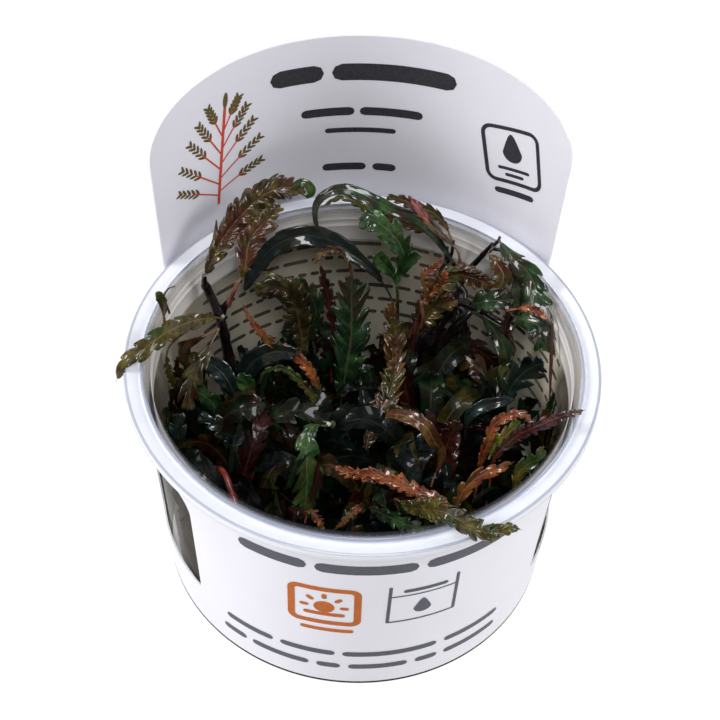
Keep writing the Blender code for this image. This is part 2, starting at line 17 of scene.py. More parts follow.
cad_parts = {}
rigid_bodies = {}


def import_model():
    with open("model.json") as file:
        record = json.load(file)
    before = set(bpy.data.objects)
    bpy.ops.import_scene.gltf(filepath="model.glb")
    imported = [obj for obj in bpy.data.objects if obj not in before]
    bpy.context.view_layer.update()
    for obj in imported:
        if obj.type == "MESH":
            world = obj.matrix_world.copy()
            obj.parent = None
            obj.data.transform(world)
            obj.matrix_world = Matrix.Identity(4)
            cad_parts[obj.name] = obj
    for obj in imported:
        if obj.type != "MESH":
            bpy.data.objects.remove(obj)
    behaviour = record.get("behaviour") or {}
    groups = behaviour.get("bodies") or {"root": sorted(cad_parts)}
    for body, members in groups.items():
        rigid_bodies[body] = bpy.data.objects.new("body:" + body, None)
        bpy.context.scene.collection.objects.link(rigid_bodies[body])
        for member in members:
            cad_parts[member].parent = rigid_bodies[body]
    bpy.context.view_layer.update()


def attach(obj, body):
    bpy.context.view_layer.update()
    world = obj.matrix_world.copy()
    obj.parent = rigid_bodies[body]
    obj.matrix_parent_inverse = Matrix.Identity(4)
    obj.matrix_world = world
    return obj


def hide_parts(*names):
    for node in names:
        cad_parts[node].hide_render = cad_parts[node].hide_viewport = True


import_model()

bl_info = {
    "name": "Aquarium plant cup",
    "version": (1, 0, 0),
    "blender": (4, 5, 0),
    "location": "3D View > Sidebar > Plant cup",
    "description": "Models a clear cup of aquarium plants in a printed card sleeve",
    "category": "Object",
}

MM = 0.001
BODY = "root"

# The cup, in millimetres
RIM_RADIUS = 50.5
RIM_TOP = 59.3
MOUTH_RADIUS = 44.9
CUP_BASE_RADIUS = 42.9
WALL_SLOPE = 0.055
CUP_WALL = 1.1
CUP_FLOOR = 1.2
STEP_HEIGHT = 48.0
RING_HEIGHTS = (54.6, 56.6)
RING_DEPTH = 0.14

# The card sleeve, in millimetres and degrees
SLEEVE_BASE_RADIUS = 43.3
SLEEVE_SLOPE = 0.057
SLEEVE_THICKNESS = 0.4
SLEEVE_BOTTOM = 1.0
SLEEVE_TOP = 55.0
PANEL_FLARE = 0.078
FLARE_FULL_ANGLE = 58.0
FLARE_END_ANGLE = 102.0
PANEL_BEND_HEIGHT = 58.0
PANEL_LEAN = 0.06
PANEL_HALF_ANGLE = 56.8
PANEL_SHOULDER = 86.0
PANEL_TOP = 102.2
PANEL_WIDTH_POWER = 2.6
PANEL_HEIGHT_POWER = 2.8
WINDOW_BACK_ANGLE = 95.0
WINDOW_LEFT_FRONT_ANGLE = 127.5
WINDOW_RIGHT_FRONT_ANGLE = 122.0
WINDOW_BOTTOM = 14.2
WINDOW_TOP = 47.2
WINDOW_CORNER = 5.0
WINDOW_LOWER_CORNER = 1.5
INK_LIFT = 0.05
INK_THICKNESS = 0.03

# Rows of the card's faces: below, beside and above the windows, up to the panel's bend, and up the panel
CARD_ROWS = (5, 8, 3, 1, 12)
WINDOW_FIRST_ROW = CARD_ROWS[0]
WINDOW_LAST_ROW = WINDOW_FIRST_ROW + CARD_ROWS[1] - 1
PANEL_FIRST_ROW = sum(CARD_ROWS[:3])

# The gel and the growth on it, in millimetres
GEL_RADIUS = 41.3
GEL_BOTTOM = 1.6
GEL_TOP = 11.0
MOUND_RADIUS = 41.0
MOUND_BOTTOM = 11.4
GROWTH_RADIUS = 38.0
WALL_CLEARANCE = 2.2
PRESSED_CLEARANCE = 1.4

# Where the camera stands, fitted to the outlines of the rim, the mouth and the panel
CAMERA_ELEVATION = 49.086
CAMERA_ROLL = 2.755
CAMERA_TURN = 4.5
CAMERA_DISTANCE = 363.8
CAMERA_AIM = (-0.653, 0.0, 58.68)
CAMERA_LENS = 85.845
SENSOR_WIDTH = 36.0

# How the leaves are laid: the way they turn their faces, the steps that their routes are measured in, how
# steeply a blade folds up from its midrib, and the columns and rows of the smallest blades
LIGHT = Vector((0.0, -0.66, 0.75))
CURVE_STEPS = 120
FOLD = 0.2
SMALL_COLUMNS, SMALL_ROWS = 2, 7

# Old leaves pressed against the wall stand between these angles, on the left and on the right
WALL_LEAF_ANGLES = ((-138.0, -66.0), (82.0, 136.0))

# The tints that the small leaves take in turn, and the slots of the tints that have none of their own
MAT_TINTS = ("dark_green", "teal", "dark_green", "burgundy", "olive", "brown")
SHOOT_TINTS = ("dark_green", "teal", "dark_green", "brown", "burgundy", "olive", "teal", "dark_green")
WALL_TINTS = ("dark_olive", "brown", "dark_green", "burgundy")
SLOTS = {"russet": "leaf_brown", "lime": "leaf_olive", "dark_olive": "leaf_olive"}

# Each leaf: its midrib's route from the ground or its stem to its tip, its greatest width, the share of the
# route that is bare stalk, its tint and its habit
LEAVES = {
    "leaf_tall_left": ([(-34, 25, 58), (-32, 27, 62), (-29, 31, 66), (-24, 35, 70), (-19, 38, 72),
        (-14, 39, 72), (-11, 40, 69)], 6.4, 0.03, "russet", "crinkled"),
    "leaf_tall_left_inner": ([(-29, 25, 51), (-27, 24, 56), (-25, 25, 61), (-24, 28, 66), (-21, 31, 69),
        (-17, 35, 71)], 5.6, 0.3, "russet", "crinkled"),
    "leaf_over_left_rim": ([(-30, 20, 50), (-32, 16, 55), (-37, 11, 59), (-42, 5, 62), (-46, 1, 62),
        (-50, -2, 61), (-52, -4, 57)], 4.2, 0.15, "olive", "scalloped"),
    "leaf_left_spike": ([(-42, 8, 64), (-42, 9, 67), (-43, 9, 71)], 1.9, 0.0, "olive", "strap"),
    "leaf_left_hanging": ([(-31, 19, 48), (-34, 14, 51), (-38, 14, 49), (-39, 15, 45), (-39, 16, 40)],
        3.0, 0.3, "brown", "scalloped"),
    "leaf_left_twig": ([(-39, 10, 56), (-42, 10, 51), (-42, 9, 45), (-41, 9, 39)], 1.8, 0.4, "olive",
        "frill"),
    "leaf_strap_arch": ([(10, 30, 17), (10, 33, 30), (9, 34, 40), (5, 35, 48), (-1, 36, 54),
        (-5, 37, 57), (-12, 37, 59), (-18, 36, 57), (-22, 34, 53), (-26, 31, 46)], 4.6, 0.4, "teal",
        "strap"),
    "leaf_long_arch": ([(22, 33, 53), (20, 33, 58), (14, 33, 67), (7, 32, 72), (0, 34, 75), (-5, 35, 75),
        (-9, 35, 71), (-9, 33, 66), (-6, 31, 63)], 2.6, 0.03, "dark_green", "strap"),
    "leaf_low_arch": ([(21, 37, 54), (18, 38, 58), (14, 38, 60), (8, 39, 62), (3, 40, 64), (-3, 42, 66),
        (-8, 42, 63)], 2.3, 0.05, "lime", "toothed"),
    "leaf_upper_arch": ([(22, 35, 58), (20, 37, 62), (17, 38, 65), (13, 38, 67), (10, 38, 69),
        (6, 38, 70)], 2.8, 0.15, "brown", "toothed"),
    "leaf_pink_tip": ([(23, 29, 58), (22, 28, 63), (18, 28, 68), (15, 28, 72), (12, 28, 76),
        (11, 28, 79)], 2.0, 0.3, "brown", "scalloped"),
    "leaf_bright_back": ([(9, 27, 52), (9, 28, 57), (10, 28, 62), (8, 28, 67), (5, 29, 70), (2, 30, 71),
        (0, 31, 68)], 6.0, 0.03, "green", "broad"),
    "leaf_red_sprig": ([(14, 21, 53), (15, 20, 57), (14, 21, 62), (16, 21, 65), (18, 21, 68)], 2.0, 0.2,
        "orange", "frill"),
    "leaf_crinkled_arch": ([(17, 27, 42), (16, 26, 47), (17, 26, 53), (21, 26, 57), (24, 25, 58),
        (28, 24, 57), (30, 23, 55)], 5.4, 0.1, "brown", "crinkled"),
    "leaf_right_crown": ([(31, 28, 66), (34, 23, 65), (37, 21, 63), (39, 18, 60), (41, 15, 58)], 5.6,
        0.03, "dark_green", "broad"),
    "leaf_right_wall_strand": ([(42, 12, 57), (42, 9, 53), (42, 6, 48), (42, 2, 42)], 0.7, 0.0,
        "burgundy", "strap"),
    "leaf_crown_brown": ([(29, 28, 62), (30, 25, 63), (32, 23, 60), (31, 22, 57)], 5.0, 0.1, "brown",
        "lobed"),
    "leaf_crown_thin": ([(35, 25, 62), (35, 25, 58), (36, 24, 55), (37, 24, 51)], 1.8, 0.2, "orange",
        "frill"),
    "leaf_right_frill": ([(33, 19, 53), (36, 16, 57), (39, 14, 58), (41, 12, 57)], 1.8, 0.3, "orange",
        "frill"),
    "leaf_right_cluster": ([(25, 28, 47), (27, 24, 50), (29, 22, 53), (34, 21, 54)], 5.6, 0.2,
        "dark_green", "broad"),
    "leaf_right_drooping": ([(35, 20, 45), (36, 18, 51), (39, 15, 53), (41, 12, 52), (41, 10, 49)], 6.0,
        0.2, "dark_green", "broad"),
    "leaf_long_brown": ([(0, -4, 17), (1, -3, 26), (2, 1, 30), (5, 8, 31), (8, 14, 33), (9, 19, 36),
        (9, 23, 40), (8, 26, 45), (8, 26, 50)], 5.8, 0.2, "brown", "crinkled"),
    "leaf_orange_slope": ([(-5, 16, 17), (-7, 15, 25), (-9, 16, 31), (-11, 17, 36), (-15, 18, 41),
        (-20, 18, 45), (-24, 20, 50), (-26, 22, 54)], 2.5, 0.15, "orange", "toothed"),
    "leaf_small_arch": ([(-8, 11, 17), (-8, 12, 25), (-10, 12, 32), (-14, 13, 38), (-17, 14, 40),
        (-21, 13, 40), (-22, 12, 37)], 2.0, 0.15, "olive", "toothed"),
    "leaf_centre_upright": ([(-3, 20, 17), (-3, 20, 21), (-2, 22, 30), (-1, 25, 38), (-1, 28, 46),
        (-1, 31, 53)], 8.6, 0.1, "dark_green", "lobed"),
    "leaf_lilac_arch": ([(-2, 30, 57), (-4, 31, 60), (-7, 31, 60), (-10, 30, 57)], 1.8, 0.0, "brown",
        "frill"),
    "leaf_back_green": ([(-9, 29, 17), (-9, 30, 26), (-10, 30, 34), (-9, 31, 41), (-11, 32, 46),
        (-14, 33, 50)], 4.6, 0.4, "dark_green", "lobed"),
    "leaf_back_burgundy": ([(-5, 29, 17), (-5, 31, 26), (-5, 32, 35), (-6, 33, 42), (-7, 34, 47),
        (-8, 35, 52)], 2.6, 0.4, "burgundy", "lobed"),
    "leaf_back_crinkled": ([(-12, 24, 17), (-12, 25, 25), (-12, 26, 33), (-13, 27, 41), (-14, 28, 46),
        (-16, 28, 51), (-20, 28, 52), (-23, 29, 48)], 7.0, 0.3, "dark_olive", "crinkled"),
    "leaf_front_hanging": ([(-7, -1, 38), (-11, -5, 42), (-12, -10, 39), (-12, -14, 32), (-13, -17, 24)],
        6.0, 0.1, "green", "broad"),
    "leaf_left_grey_strap": ([(-30, -6, 17), (-29, -5, 25), (-28, -3, 29), (-26, 1, 33), (-24, 4, 36),
        (-22, 8, 38)], 3.4, 0.3, "teal", "strap"),
    "leaf_left_green_lobe": ([(-23, 12, 17), (-24, 11, 27), (-25, 11, 37), (-26, 11, 42)], 3.8, 0.6,
        "green", "scalloped"),
    "leaf_left_wall_teal": ([(-37, -6, 17), (-38, -5, 24), (-39, -4, 30), (-40, -2, 36), (-40, 0, 42)],
        4.0, 0.4, "teal", "lobed"),
    "leaf_left_dark_blade": ([(-27, 15, 17), (-27, 14, 25), (-28, 13, 33), (-31, 15, 38), (-35, 16, 41)],
        4.6, 0.45, "teal", "strap"),
    "leaf_left_dark_low": ([(-30, 9, 17), (-30, 9, 25), (-33, 10, 33), (-38, 10, 39), (-41, 10, 42)],
        4.6, 0.3, "dark_green", "broad"),
    "leaf_front_frilly": ([(14, -32, 17), (16, -35, 35), (17, -36, 50), (14, -34, 55), (11, -32, 54),
        (7, -28, 52), (2, -24, 50), (-2, -22, 48), (-7, -17, 44)], 3.6, 0.5, "orange", "crinkled"),
    "leaf_over_front_rim": ([(9, -21, 17), (8, -22, 32), (6, -25, 43), (8, -32, 50), (11, -38, 57),
        (14, -43, 63), (18, -46, 63), (22, -48, 63), (26, -47, 63), (29, -46, 61)], 5.0, 0.45, "olive",
        "crinkled"),
    "leaf_front_inner": ([(-1, -18, 17), (-1, -19, 27), (1, -21, 34), (5, -26, 38), (9, -32, 43),
        (13, -36, 47)], 3.6, 0.4, "dark_green", "lobed"),
    "leaf_front_thin": ([(-3, -21, 17), (-2, -22, 30), (-1, -24, 39), (-4, -29, 42), (-7, -34, 45)], 1.6,
        0.5, "orange", "frill"),
    "leaf_front_short": ([(-14, -25, 17), (-13, -24, 30), (-12, -24, 38), (-10, -28, 40), (-9, -32, 42)],
        2.0, 0.6, "orange", "frill"),
    "leaf_right_orange_low": ([(18, -23, 17), (19, -24, 30), (20, -24, 42), (23, -23, 47), (26, -22, 48),
        (31, -21, 50)], 3.0, 0.5, "orange", "lobed"),
    "leaf_right_orange_arch": ([(24, -14, 17), (25, -15, 32), (25, -16, 44), (26, -16, 50),
        (27, -15, 55), (30, -15, 58), (33, -14, 57), (36, -14, 52)], 2.4, 0.45, "orange", "toothed"),
    "leaf_over_right_rim": ([(26, -19, 17), (27, -19, 35), (27, -19, 48), (31, -19, 56), (34, -20, 60),
        (37, -20, 62), (40, -20, 64), (45, -17, 62)], 2.8, 0.5, "burgundy", "toothed"),
    "leaf_right_yellow": ([(30, -18, 17), (31, -19, 31), (32, -21, 42), (33, -20, 46), (36, -20, 50),
        (37, -19, 53)], 3.2, 0.6, "olive", "lobed"),
    "leaf_centre_grey": ([(25, 1, 17), (24, 1, 28), (24, 0, 38), (26, 0, 42), (30, 0, 44), (34, 1, 44)],
        2.8, 0.5, "teal", "strap"),
    "leaf_centre_brick": ([(20, -7, 17), (20, -4, 28), (21, -1, 31), (19, 2, 35)], 4.2, 0.15, "burgundy",
        "lobed"),
    "leaf_right_olive_strip": ([(31, 14, 17), (32, 16, 26), (33, 16, 30), (34, 18, 34), (36, 20, 38)],
        2.4, 0.35, "olive", "toothed"),
    "leaf_right_teal": ([(33, 10, 17), (34, 10, 28), (35, 11, 36), (38, 11, 42), (41, 8, 48)], 6.0, 0.4,
        "teal", "broad"),
    "leaf_centre_arch": ([(16, -9, 17), (16, -9, 26), (18, -6, 33), (16, -6, 38), (14, -5, 42),
        (10, -2, 42), (5, 3, 37)], 3.2, 0.3, "brown", "strap"),
    "leaf_centre_low_green": ([(15, 3, 17), (16, 2, 25), (16, 1, 31), (13, 3, 34), (9, 8, 29)], 2.8, 0.4,
        "green", "lobed"),
}

# Each stem: its route from the ground up, its radius at the ground, its radius at the top and its tint
STEMS = {
    "stem_left": ([(-27, 22, 17), (-28, 21, 24), (-29, 22, 33), (-30, 23, 41), (-31, 24, 47),
        (-33, 26, 52), (-34, 26, 55)], 1.6, 0.9, "black"),
    "stem_back": ([(20, 36, 17), (20, 37, 27), (20, 37, 38), (20, 37, 46), (21, 36, 51)], 0.8, 0.6,
        "black"),
    "stem_right": ([(14, 26, 17), (15, 28, 30), (19, 29, 38), (22, 30, 44), (25, 32, 51), (28, 31, 58),
        (30, 30, 63)], 1.8, 0.45, "black"),
    "stem_right_loop": ([(23, 27, 17), (29, 26, 23), (34, 24, 30), (36, 22, 36), (34, 23, 43)], 1.2, 1.0,
        "red"),
    "stem_centre": ([(-3, 12, 17), (-4, 9, 25), (-5, 4, 32), (-6, 1, 36)], 1.1, 0.7, "green"),
}

# How each habit of leaf is cut and crumpled: the spacing of its lobes in millimetres, the share of the
# half width that the blade between the lobes covers, a lobe's angle to the midrib in degrees, the share of
# the spacing that it fills, how far its tip curls down as a share of its length, its greatest chance turn
# in degrees, how wavy the blade is, and how far the blade sways round its midrib in degrees
Habit = namedtuple("Habit", "spacing wing angle breadth curl turn waves sway")
HABITS = {
    "lobed": Habit(3.9, 0.4, 34.0, 0.84, 0.18, 34.0, 0.26, 10.0),
    "broad": Habit(4.8, 0.46, 38.0, 0.78, 0.22, 28.0, 0.24, 12.0),
    "scalloped": Habit(4.4, 0.66, 44.0, 0.92, 0.22, 20.0, 0.25, 12.0),
    "crinkled": Habit(2.5, 0.42, 40.0, 0.86, 0.4, 62.0, 0.5, 24.0),
    "toothed": Habit(2.6, 0.6, 34.0, 0.72, 0.2, 30.0, 0.3, 16.0),
    "frill": Habit(1.7, 0.4, 48.0, 0.66, 0.3, 50.0, 0.35, 20.0),
    "strap": Habit(7.0, 0.9, 30.0, 0.5, 0.05, 10.0, 0.25, 8.0),
}

# Wet leaf finishes: the dark, middle and light of the blade, the midrib, then the tint of scattered patches
LEAF_SHADES = {
    "dark_green": ((0.003, 0.009, 0.005), (0.01, 0.03, 0.01), (0.032, 0.08, 0.02), (0.09, 0.08, 0.04),
        (0.028, 0.016, 0.008)),
    "teal": ((0.002, 0.004, 0.004), (0.005, 0.012, 0.011), (0.016, 0.034, 0.028), (0.035, 0.04, 0.032),
        (0.012, 0.015, 0.008)),
    "olive": ((0.014, 0.011, 0.003), (0.058, 0.044, 0.007), (0.13, 0.11, 0.016), (0.2, 0.11, 0.05),
        (0.016, 0.045, 0.009)),
    "dark_olive": ((0.01, 0.008, 0.003), (0.035, 0.028, 0.008), (0.085, 0.08, 0.02), (0.13, 0.08, 0.045),
        (0.03, 0.01, 0.006)),
    "brown": ((0.018, 0.006, 0.003), (0.075, 0.03, 0.01), (0.17, 0.09, 0.022), (0.34, 0.17, 0.1),
        (0.04, 0.045, 0.008)),
    "russet": ((0.012, 0.007, 0.003), (0.055, 0.036, 0.008), (0.14, 0.11, 0.02), (0.3, 0.17, 0.11),
        (0.08, 0.02, 0.009)),
    "orange": ((0.035, 0.007, 0.003), (0.16, 0.036, 0.01), (0.34, 0.1, 0.02), (0.4, 0.14, 0.08),
        (0.075, 0.045, 0.01)),
    "burgundy": ((0.01, 0.003, 0.003), (0.045, 0.009, 0.008), (0.1, 0.022, 0.016), (0.2, 0.05, 0.04),
        (0.02, 0.016, 0.007)),
    "green": ((0.006, 0.02, 0.006), (0.018, 0.058, 0.015), (0.06, 0.13, 0.03), (0.11, 0.14, 0.07),
        (0.045, 0.055, 0.01)),
    "lime": ((0.018, 0.028, 0.004), (0.07, 0.1, 0.01), (0.2, 0.24, 0.025), (0.26, 0.26, 0.08),
        (0.12, 0.05, 0.02)),
    "pink": ((0.06, 0.01, 0.012), (0.24, 0.05, 0.05), (0.46, 0.13, 0.12), (0.5, 0.2, 0.16),
        (0.14, 0.07, 0.02)),
}
STEM_SHADES = {
    "black": ((0.003, 0.002, 0.003), (0.008, 0.005, 0.006), (0.02, 0.012, 0.012)),
    "red": ((0.012, 0.003, 0.003), (0.04, 0.009, 0.007), (0.09, 0.025, 0.016)),
    "green": ((0.012, 0.016, 0.006), (0.04, 0.05, 0.016), (0.08, 0.09, 0.03)),
    "rosy": ((0.06, 0.016, 0.01), (0.16, 0.055, 0.036), (0.3, 0.13, 0.09)),
    "scarlet": ((0.03, 0.003, 0.003), (0.12, 0.009, 0.007), (0.24, 0.025, 0.016)),
}

# Lobes, side leaves and old blades that have no solid of their own, given in the same way as the leaves
SIDE_LEAVES = (
    ([(-15, 38.6, 72), (-12.6, 39.2, 73.3), (-10.8, 38.8, 72.8), (-10.2, 38.4, 70.8),
        (-11.6, 38.2, 69.8)], 2.0, 0.0, "green", "strap"),
    ([(15, 28, 72), (13.4, 28, 74.4), (12.2, 28, 76.6), (11, 28, 79.2)], 1.7, 0.0, "pink", "scalloped"),
    ([(9.6, 28, 55), (10.8, 28, 58), (12, 27.8, 61), (13.4, 27.4, 63)], 2.6, 0.0, "green", "strap"),
    ([(9, 28, 54), (7, 28, 57), (5, 28, 60), (4, 28, 62.5)], 3.4, 0.0, "green", "strap"),
    ([(18, -5, 20), (18.4, -4, 27), (19.3, -4, 34), (20.2, -4, 39.5), (21.5, -4, 43)], 4.6, 0.1,
        "burgundy", "lobed"),
    ([(27, -14, 42), (28, -14, 47.5), (30.5, -14, 50.8), (32.6, -14, 54.8)], 3.2, 0.1, "lime",
        "toothed"),
    ([(5, -6, 20), (7, -6, 28), (11, -6, 34), (16, -6, 38)], 7.0, 0.1, "teal", "lobed"),
    ([(-27, 15, 20), (-27, 16, 30), (-24, 17, 38), (-19, 17, 42), (-13, 16, 43)], 5.0, 0.2, "teal",
        "strap"),
    ([(14, 25, 36), (15, 25, 43), (18, 24.5, 49), (22, 24, 52)], 6.4, 0.1, "russet", "crinkled"),
    ([(16, 21, 56), (18, 21, 60), (19, 21, 64)], 2.0, 0.1, "orange", "frill"),
    ([(33, 27, 63), (35, 24, 59), (36, 22, 54), (35, 21, 49)], 4.0, 0.1, "dark_green", "broad"),
    ([(28, 25, 46), (31, 23, 43), (34, 20, 39), (35, 18, 34)], 4.6, 0.1, "dark_green", "broad"),
    ([(-31, 19, 48), (-34, 13, 46), (-37, 9, 42), (-38, 5, 36)], 4.6, 0.2, "dark_olive", "lobed"),
    ([(-24, 0, 20), (-27, 0, 30), (-31, 1, 36), (-36, 2, 38)], 4.6, 0.2, "teal", "lobed"),
    ([(-20, -14, 20), (-22, -15, 28), (-27, -16, 33), (-32, -17, 34)], 5.0, 0.2, "teal", "strap"),
)

# Stalks and forks that join the leaves to the stems: each route, its first and last radius and its tint
TWIGS = (
    ([(-33, 26, 51), (-34, 26, 55), (-34, 25, 59)], 0.95, 0.5, "black"),
    ([(-31, 24, 44), (-30, 25, 48), (-29, 25, 50)], 0.95, 0.75, "black"),
    ([(-29, 25, 49), (-28, 24.5, 53), (-26.5, 24.4, 57.5)], 0.7, 0.45, "rosy"),
    ([(-31, 24, 45), (-30, 21.5, 48), (-30, 20, 51)], 0.7, 0.4, "black"),
    ([(-31, 24, 44), (-31, 21, 47), (-31, 19, 48.5)], 0.5, 0.35, "black"),
    ([(41, 15, 58), (42, 12, 57), (42, 9, 53), (42, 6, 48), (42, 2, 42)], 0.35, 0.22, "red"),
    ([(-41, 11, 62), (-41.5, 11, 64.5), (-42, 11.5, 66.5), (-41, 12, 68.5), (-39.5, 12.5, 68.8)], 0.28,
        0.16, "red"),
    ([(-42, 7, 61), (-42, 8, 64)], 0.4, 0.35, "rosy"),
    ([(25, 32, 50), (23.5, 33, 52), (22, 33, 54)], 0.7, 0.45, "black"),
    ([(21, 36, 50), (21, 37, 52), (21, 37, 55)], 0.55, 0.35, "black"),
    ([(21, 36, 50), (22, 36, 54), (22, 35, 59)], 0.5, 0.35, "black"),
    ([(25, 32, 51), (23, 30, 55), (23, 29, 59)], 0.6, 0.35, "rosy"),
    ([(10, 30, 38), (9.5, 28, 46), (9, 27, 53)], 0.45, 0.35, "green"),
    ([(15, 24, 42), (15, 22, 47), (14, 21, 54)], 0.45, 0.3, "rosy"),
    ([(22, 30, 43), (19, 29, 42), (17, 27, 43)], 0.8, 0.5, "black"),
    ([(30, 30, 62), (31, 29, 65), (31, 28, 67)], 0.45, 0.35, "black"),
    ([(30, 30, 62), (30, 29, 63), (29, 28, 62)], 0.45, 0.35, "black"),
    ([(30, 29.5, 62), (33, 27, 63.5), (35, 25, 62)], 0.45, 0.3, "black"),
    ([(12, 23, 22), (13.2, 24, 34.7), (13.8, 25, 41.9), (15.4, 26, 47.5)], 0.9, 0.6, "red"),
    ([(19, 25, 22), (20, 26, 32.3), (22, 26, 37.8), (24.4, 26, 42.3), (26.2, 27, 44)], 1.5, 0.9,
        "black"),
    ([(15, 26, 24), (17, 25, 34), (20, 26, 41), (23, 26, 47)], 1.1, 0.6, "black"),
    ([(23, 26, 48.7), (28.8, 25, 46.4), (33.2, 22, 45.6), (35.1, 20, 50)], 0.9, 0.5, "black"),
    ([(-31, -14, 40), (-30, -15.5, 41), (-28.9, -18, 40.6), (-27.4, -22, 38.7), (-26, -25, 36)], 0.6,
        0.95, "scarlet"),
    ([(34, 23, 42), (34, 21, 48), (33, 19, 54)], 0.9, 0.45, "red"),
    ([(24, 31, 48), (25, 29.5, 47.5), (25, 28, 47)], 0.9, 0.6, "black"),
    ([(34, 23, 42), (35, 21.5, 44), (35, 20, 46)], 0.9, 0.5, "red"),
    ([(-1, 31, 52), (-1.5, 31, 55), (-2, 30, 58)], 0.4, 0.3, "rosy"),
    ([(-6, 1, 35), (-7, 0, 37), (-7, -1, 38.5)], 0.7, 0.5, "green"),
)


def length_setting(name, description, default):
    return FloatProperty(name=name, description=description, default=default, unit="LENGTH")


def number_setting(name, description, default, low=0.0, high=100.0):
    return FloatProperty(name=name, description=description, default=default, min=low, max=high)


def count_setting(name, description, default, low=0):
    return IntProperty(name=name, description=description, default=default, min=low)


def colour_setting(name, description, default):
    return FloatVectorProperty(name=name, description=description, default=default, subtype="COLOR")


class CupSettings(bpy.types.PropertyGroup):
    # Painted shade: the wall's dark brown stands for the dark inside of the cup seen through it
    wall_colour: colour_setting("Wall colour", "Colour of the cup's clear wall", (0.26, 0.225, 0.17))
    flange_colour: colour_setting("Flange colour", "Colour of the flange and the bead", (0.84, 0.86, 0.92))
    wall_alpha: number_setting("Wall cover", "How much the wall hides what is behind it", 0.2, 0.0, 1.0)
    segments: count_setting("Segments", "Sides of each ring of the cup", 192, 48)


class CardSettings(bpy.types.PropertyGroup):
    card_colour: colour_setting("Card colour", "Colour of the coated card", (0.84, 0.83, 0.9))
    ink_colour: colour_setting("Ink colour", "Colour of the dark print", (0.035, 0.034, 0.042))
    accent_colour: colour_setting("Accent colour", "Colour of the orange icon", (0.46, 0.105, 0.002))
    column_angle: number_setting("Column angle", "Degrees between two columns of the card", 1.9, 0.5)


class PlantSettings(bpy.types.PropertyGroup):
    blade_thickness: length_setting("Blade thickness", "Thickness of a leaf blade", 0.24 * MM)
    blade_spread: number_setting("Blade spread", "Reach of the lobes' tips over the leaf's width", 1.1, 0.5)
    rib_radius: length_setting("Midrib radius", "Radius of a midrib where its blade starts", 0.19 * MM)
    mat_leaves: count_setting("Leaves in the mat", "How many small old leaves cover the gel", 620)
    filler_leaves: count_setting("Short shoots' leaves", "How many leaves rise from the mat", 220)
    wall_leaves: count_setting("Leaves at the wall", "How many leaves are pressed against the wall", 96)


class StageSettings(bpy.types.PropertyGroup):
    floor_size: length_setting("Floor size", "Width of the white floor", 6.0)
    front_power: number_setting("Front light", "Watts of the softbox above and in front of the cup", 7.6)
    top_power: number_setting("Top light", "Watts of the softbox right above the cup", 5.0)
    left_power: number_setting("Left light", "Watts of the softbox on the left", 14.0)
    right_power: number_setting("Right light", "Watts of the softbox on the right", 8.4)


def deselect_all():
    if bpy.context.object and bpy.context.object.mode != "OBJECT":
        bpy.ops.object.mode_set(mode="OBJECT")
    bpy.ops.object.select_all(action="DESELECT")


def make_active(obj):
    deselect_all()
    obj.select_set(True)
    bpy.context.view_layer.objects.active = obj


def apply_modifiers(obj):
    make_active(obj)
    for modifier in list(obj.modifiers):
        bpy.ops.object.modifier_apply(modifier=modifier.name)


def settle(obj):
    """Moves the object's place, turn and scale into its mesh."""
    make_active(obj)
    bpy.ops.object.transform_apply(location=True, rotation=True, scale=True)


def select_faces(test):
    """In edit mode, selects just the faces that pass the test."""
    mesh = bmesh.from_edit_mesh(bpy.context.object.data)
    bpy.ops.mesh.select_mode(type="FACE")
    bpy.ops.mesh.select_all(action="DESELECT")
    for face in mesh.faces:
        if test(face):
            face.select_set(True)
    bmesh.update_edit_mesh(bpy.context.object.data)


def recalculate_normals(obj):
    make_active(obj)
    bpy.ops.object.mode_set(mode="EDIT")
    bpy.ops.mesh.select_all(action="SELECT")
    bpy.ops.mesh.remove_doubles(threshold=0.000002)
    bpy.ops.mesh.normals_make_consistent(inside=False)
    bpy.ops.object.mode_set(mode="OBJECT")


def joined(objects, name):
    """One object made of these, under the given name."""
    deselect_all()
    for obj in objects:
        obj.select_set(True)
    bpy.context.view_layer.objects.active = objects[0]
    bpy.ops.object.join()
    made = bpy.context.object
    made.name = name
    made.data.name = name
    return made


def smooth_joined(objects, name):
    """One smooth object made of these."""
    made = joined(objects, name)
    bpy.ops.object.shade_smooth()
    return made


def flat_grid(name, columns, rows, size=2.0):
    """A flat sheet of this many columns and rows, round the origin."""
    deselect_all()
    bpy.ops.mesh.primitive_grid_add(x_subdivisions=columns, y_subdivisions=rows, size=size)
    made = bpy.context.object
    made.name = name
    return made


def thicken(obj, thickness, offset=0.0, even=False):
    """Gives a sheet its thickness, in metres, on one side or on both."""
    modifier = obj.modifiers.new("Thickness", "SOLIDIFY")
    modifier.thickness = thickness
    modifier.offset = offset
    modifier.use_even_offset = even
    apply_modifiers(obj)


def finish(obj, material, slot_name, *nodes):
    """Gives a piece its material, ties it to the body and hides the CAD nodes that it stands for. The
    slot's name is not used.
    """
    obj.data.materials.clear()
    obj.data.materials.append(material)
    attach(obj, BODY)
    if nodes:
        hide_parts(*nodes)


def set_inputs(tree, made, values):
    """Links each of these inputs of a node to a socket, or sets its value."""
    for key, value in values.items():
        if isinstance(value, bpy.types.NodeSocket):
            tree.links.new(value, made.inputs[key])
        else:
            made.inputs[key].default_value = value


def node(tree, kind, inputs=None, **settings):
    """A shader node with its settings, and its inputs linked or set."""
    made = tree.nodes.new(kind)
    for key, value in settings.items():
        setattr(made, key, value)
    set_inputs(tree, made, inputs or {})
    return made


def new_material(name):
    """A node material and its tree."""
    material = bpy.data.materials.new(name)
    material.use_nodes = True
    return material, material.node_tree


def shaded(material, values):
    """The material, with these inputs of its shader linked or set."""
    tree = material.node_tree
    set_inputs(tree, tree.nodes["Principled BSDF"], values)
    return material


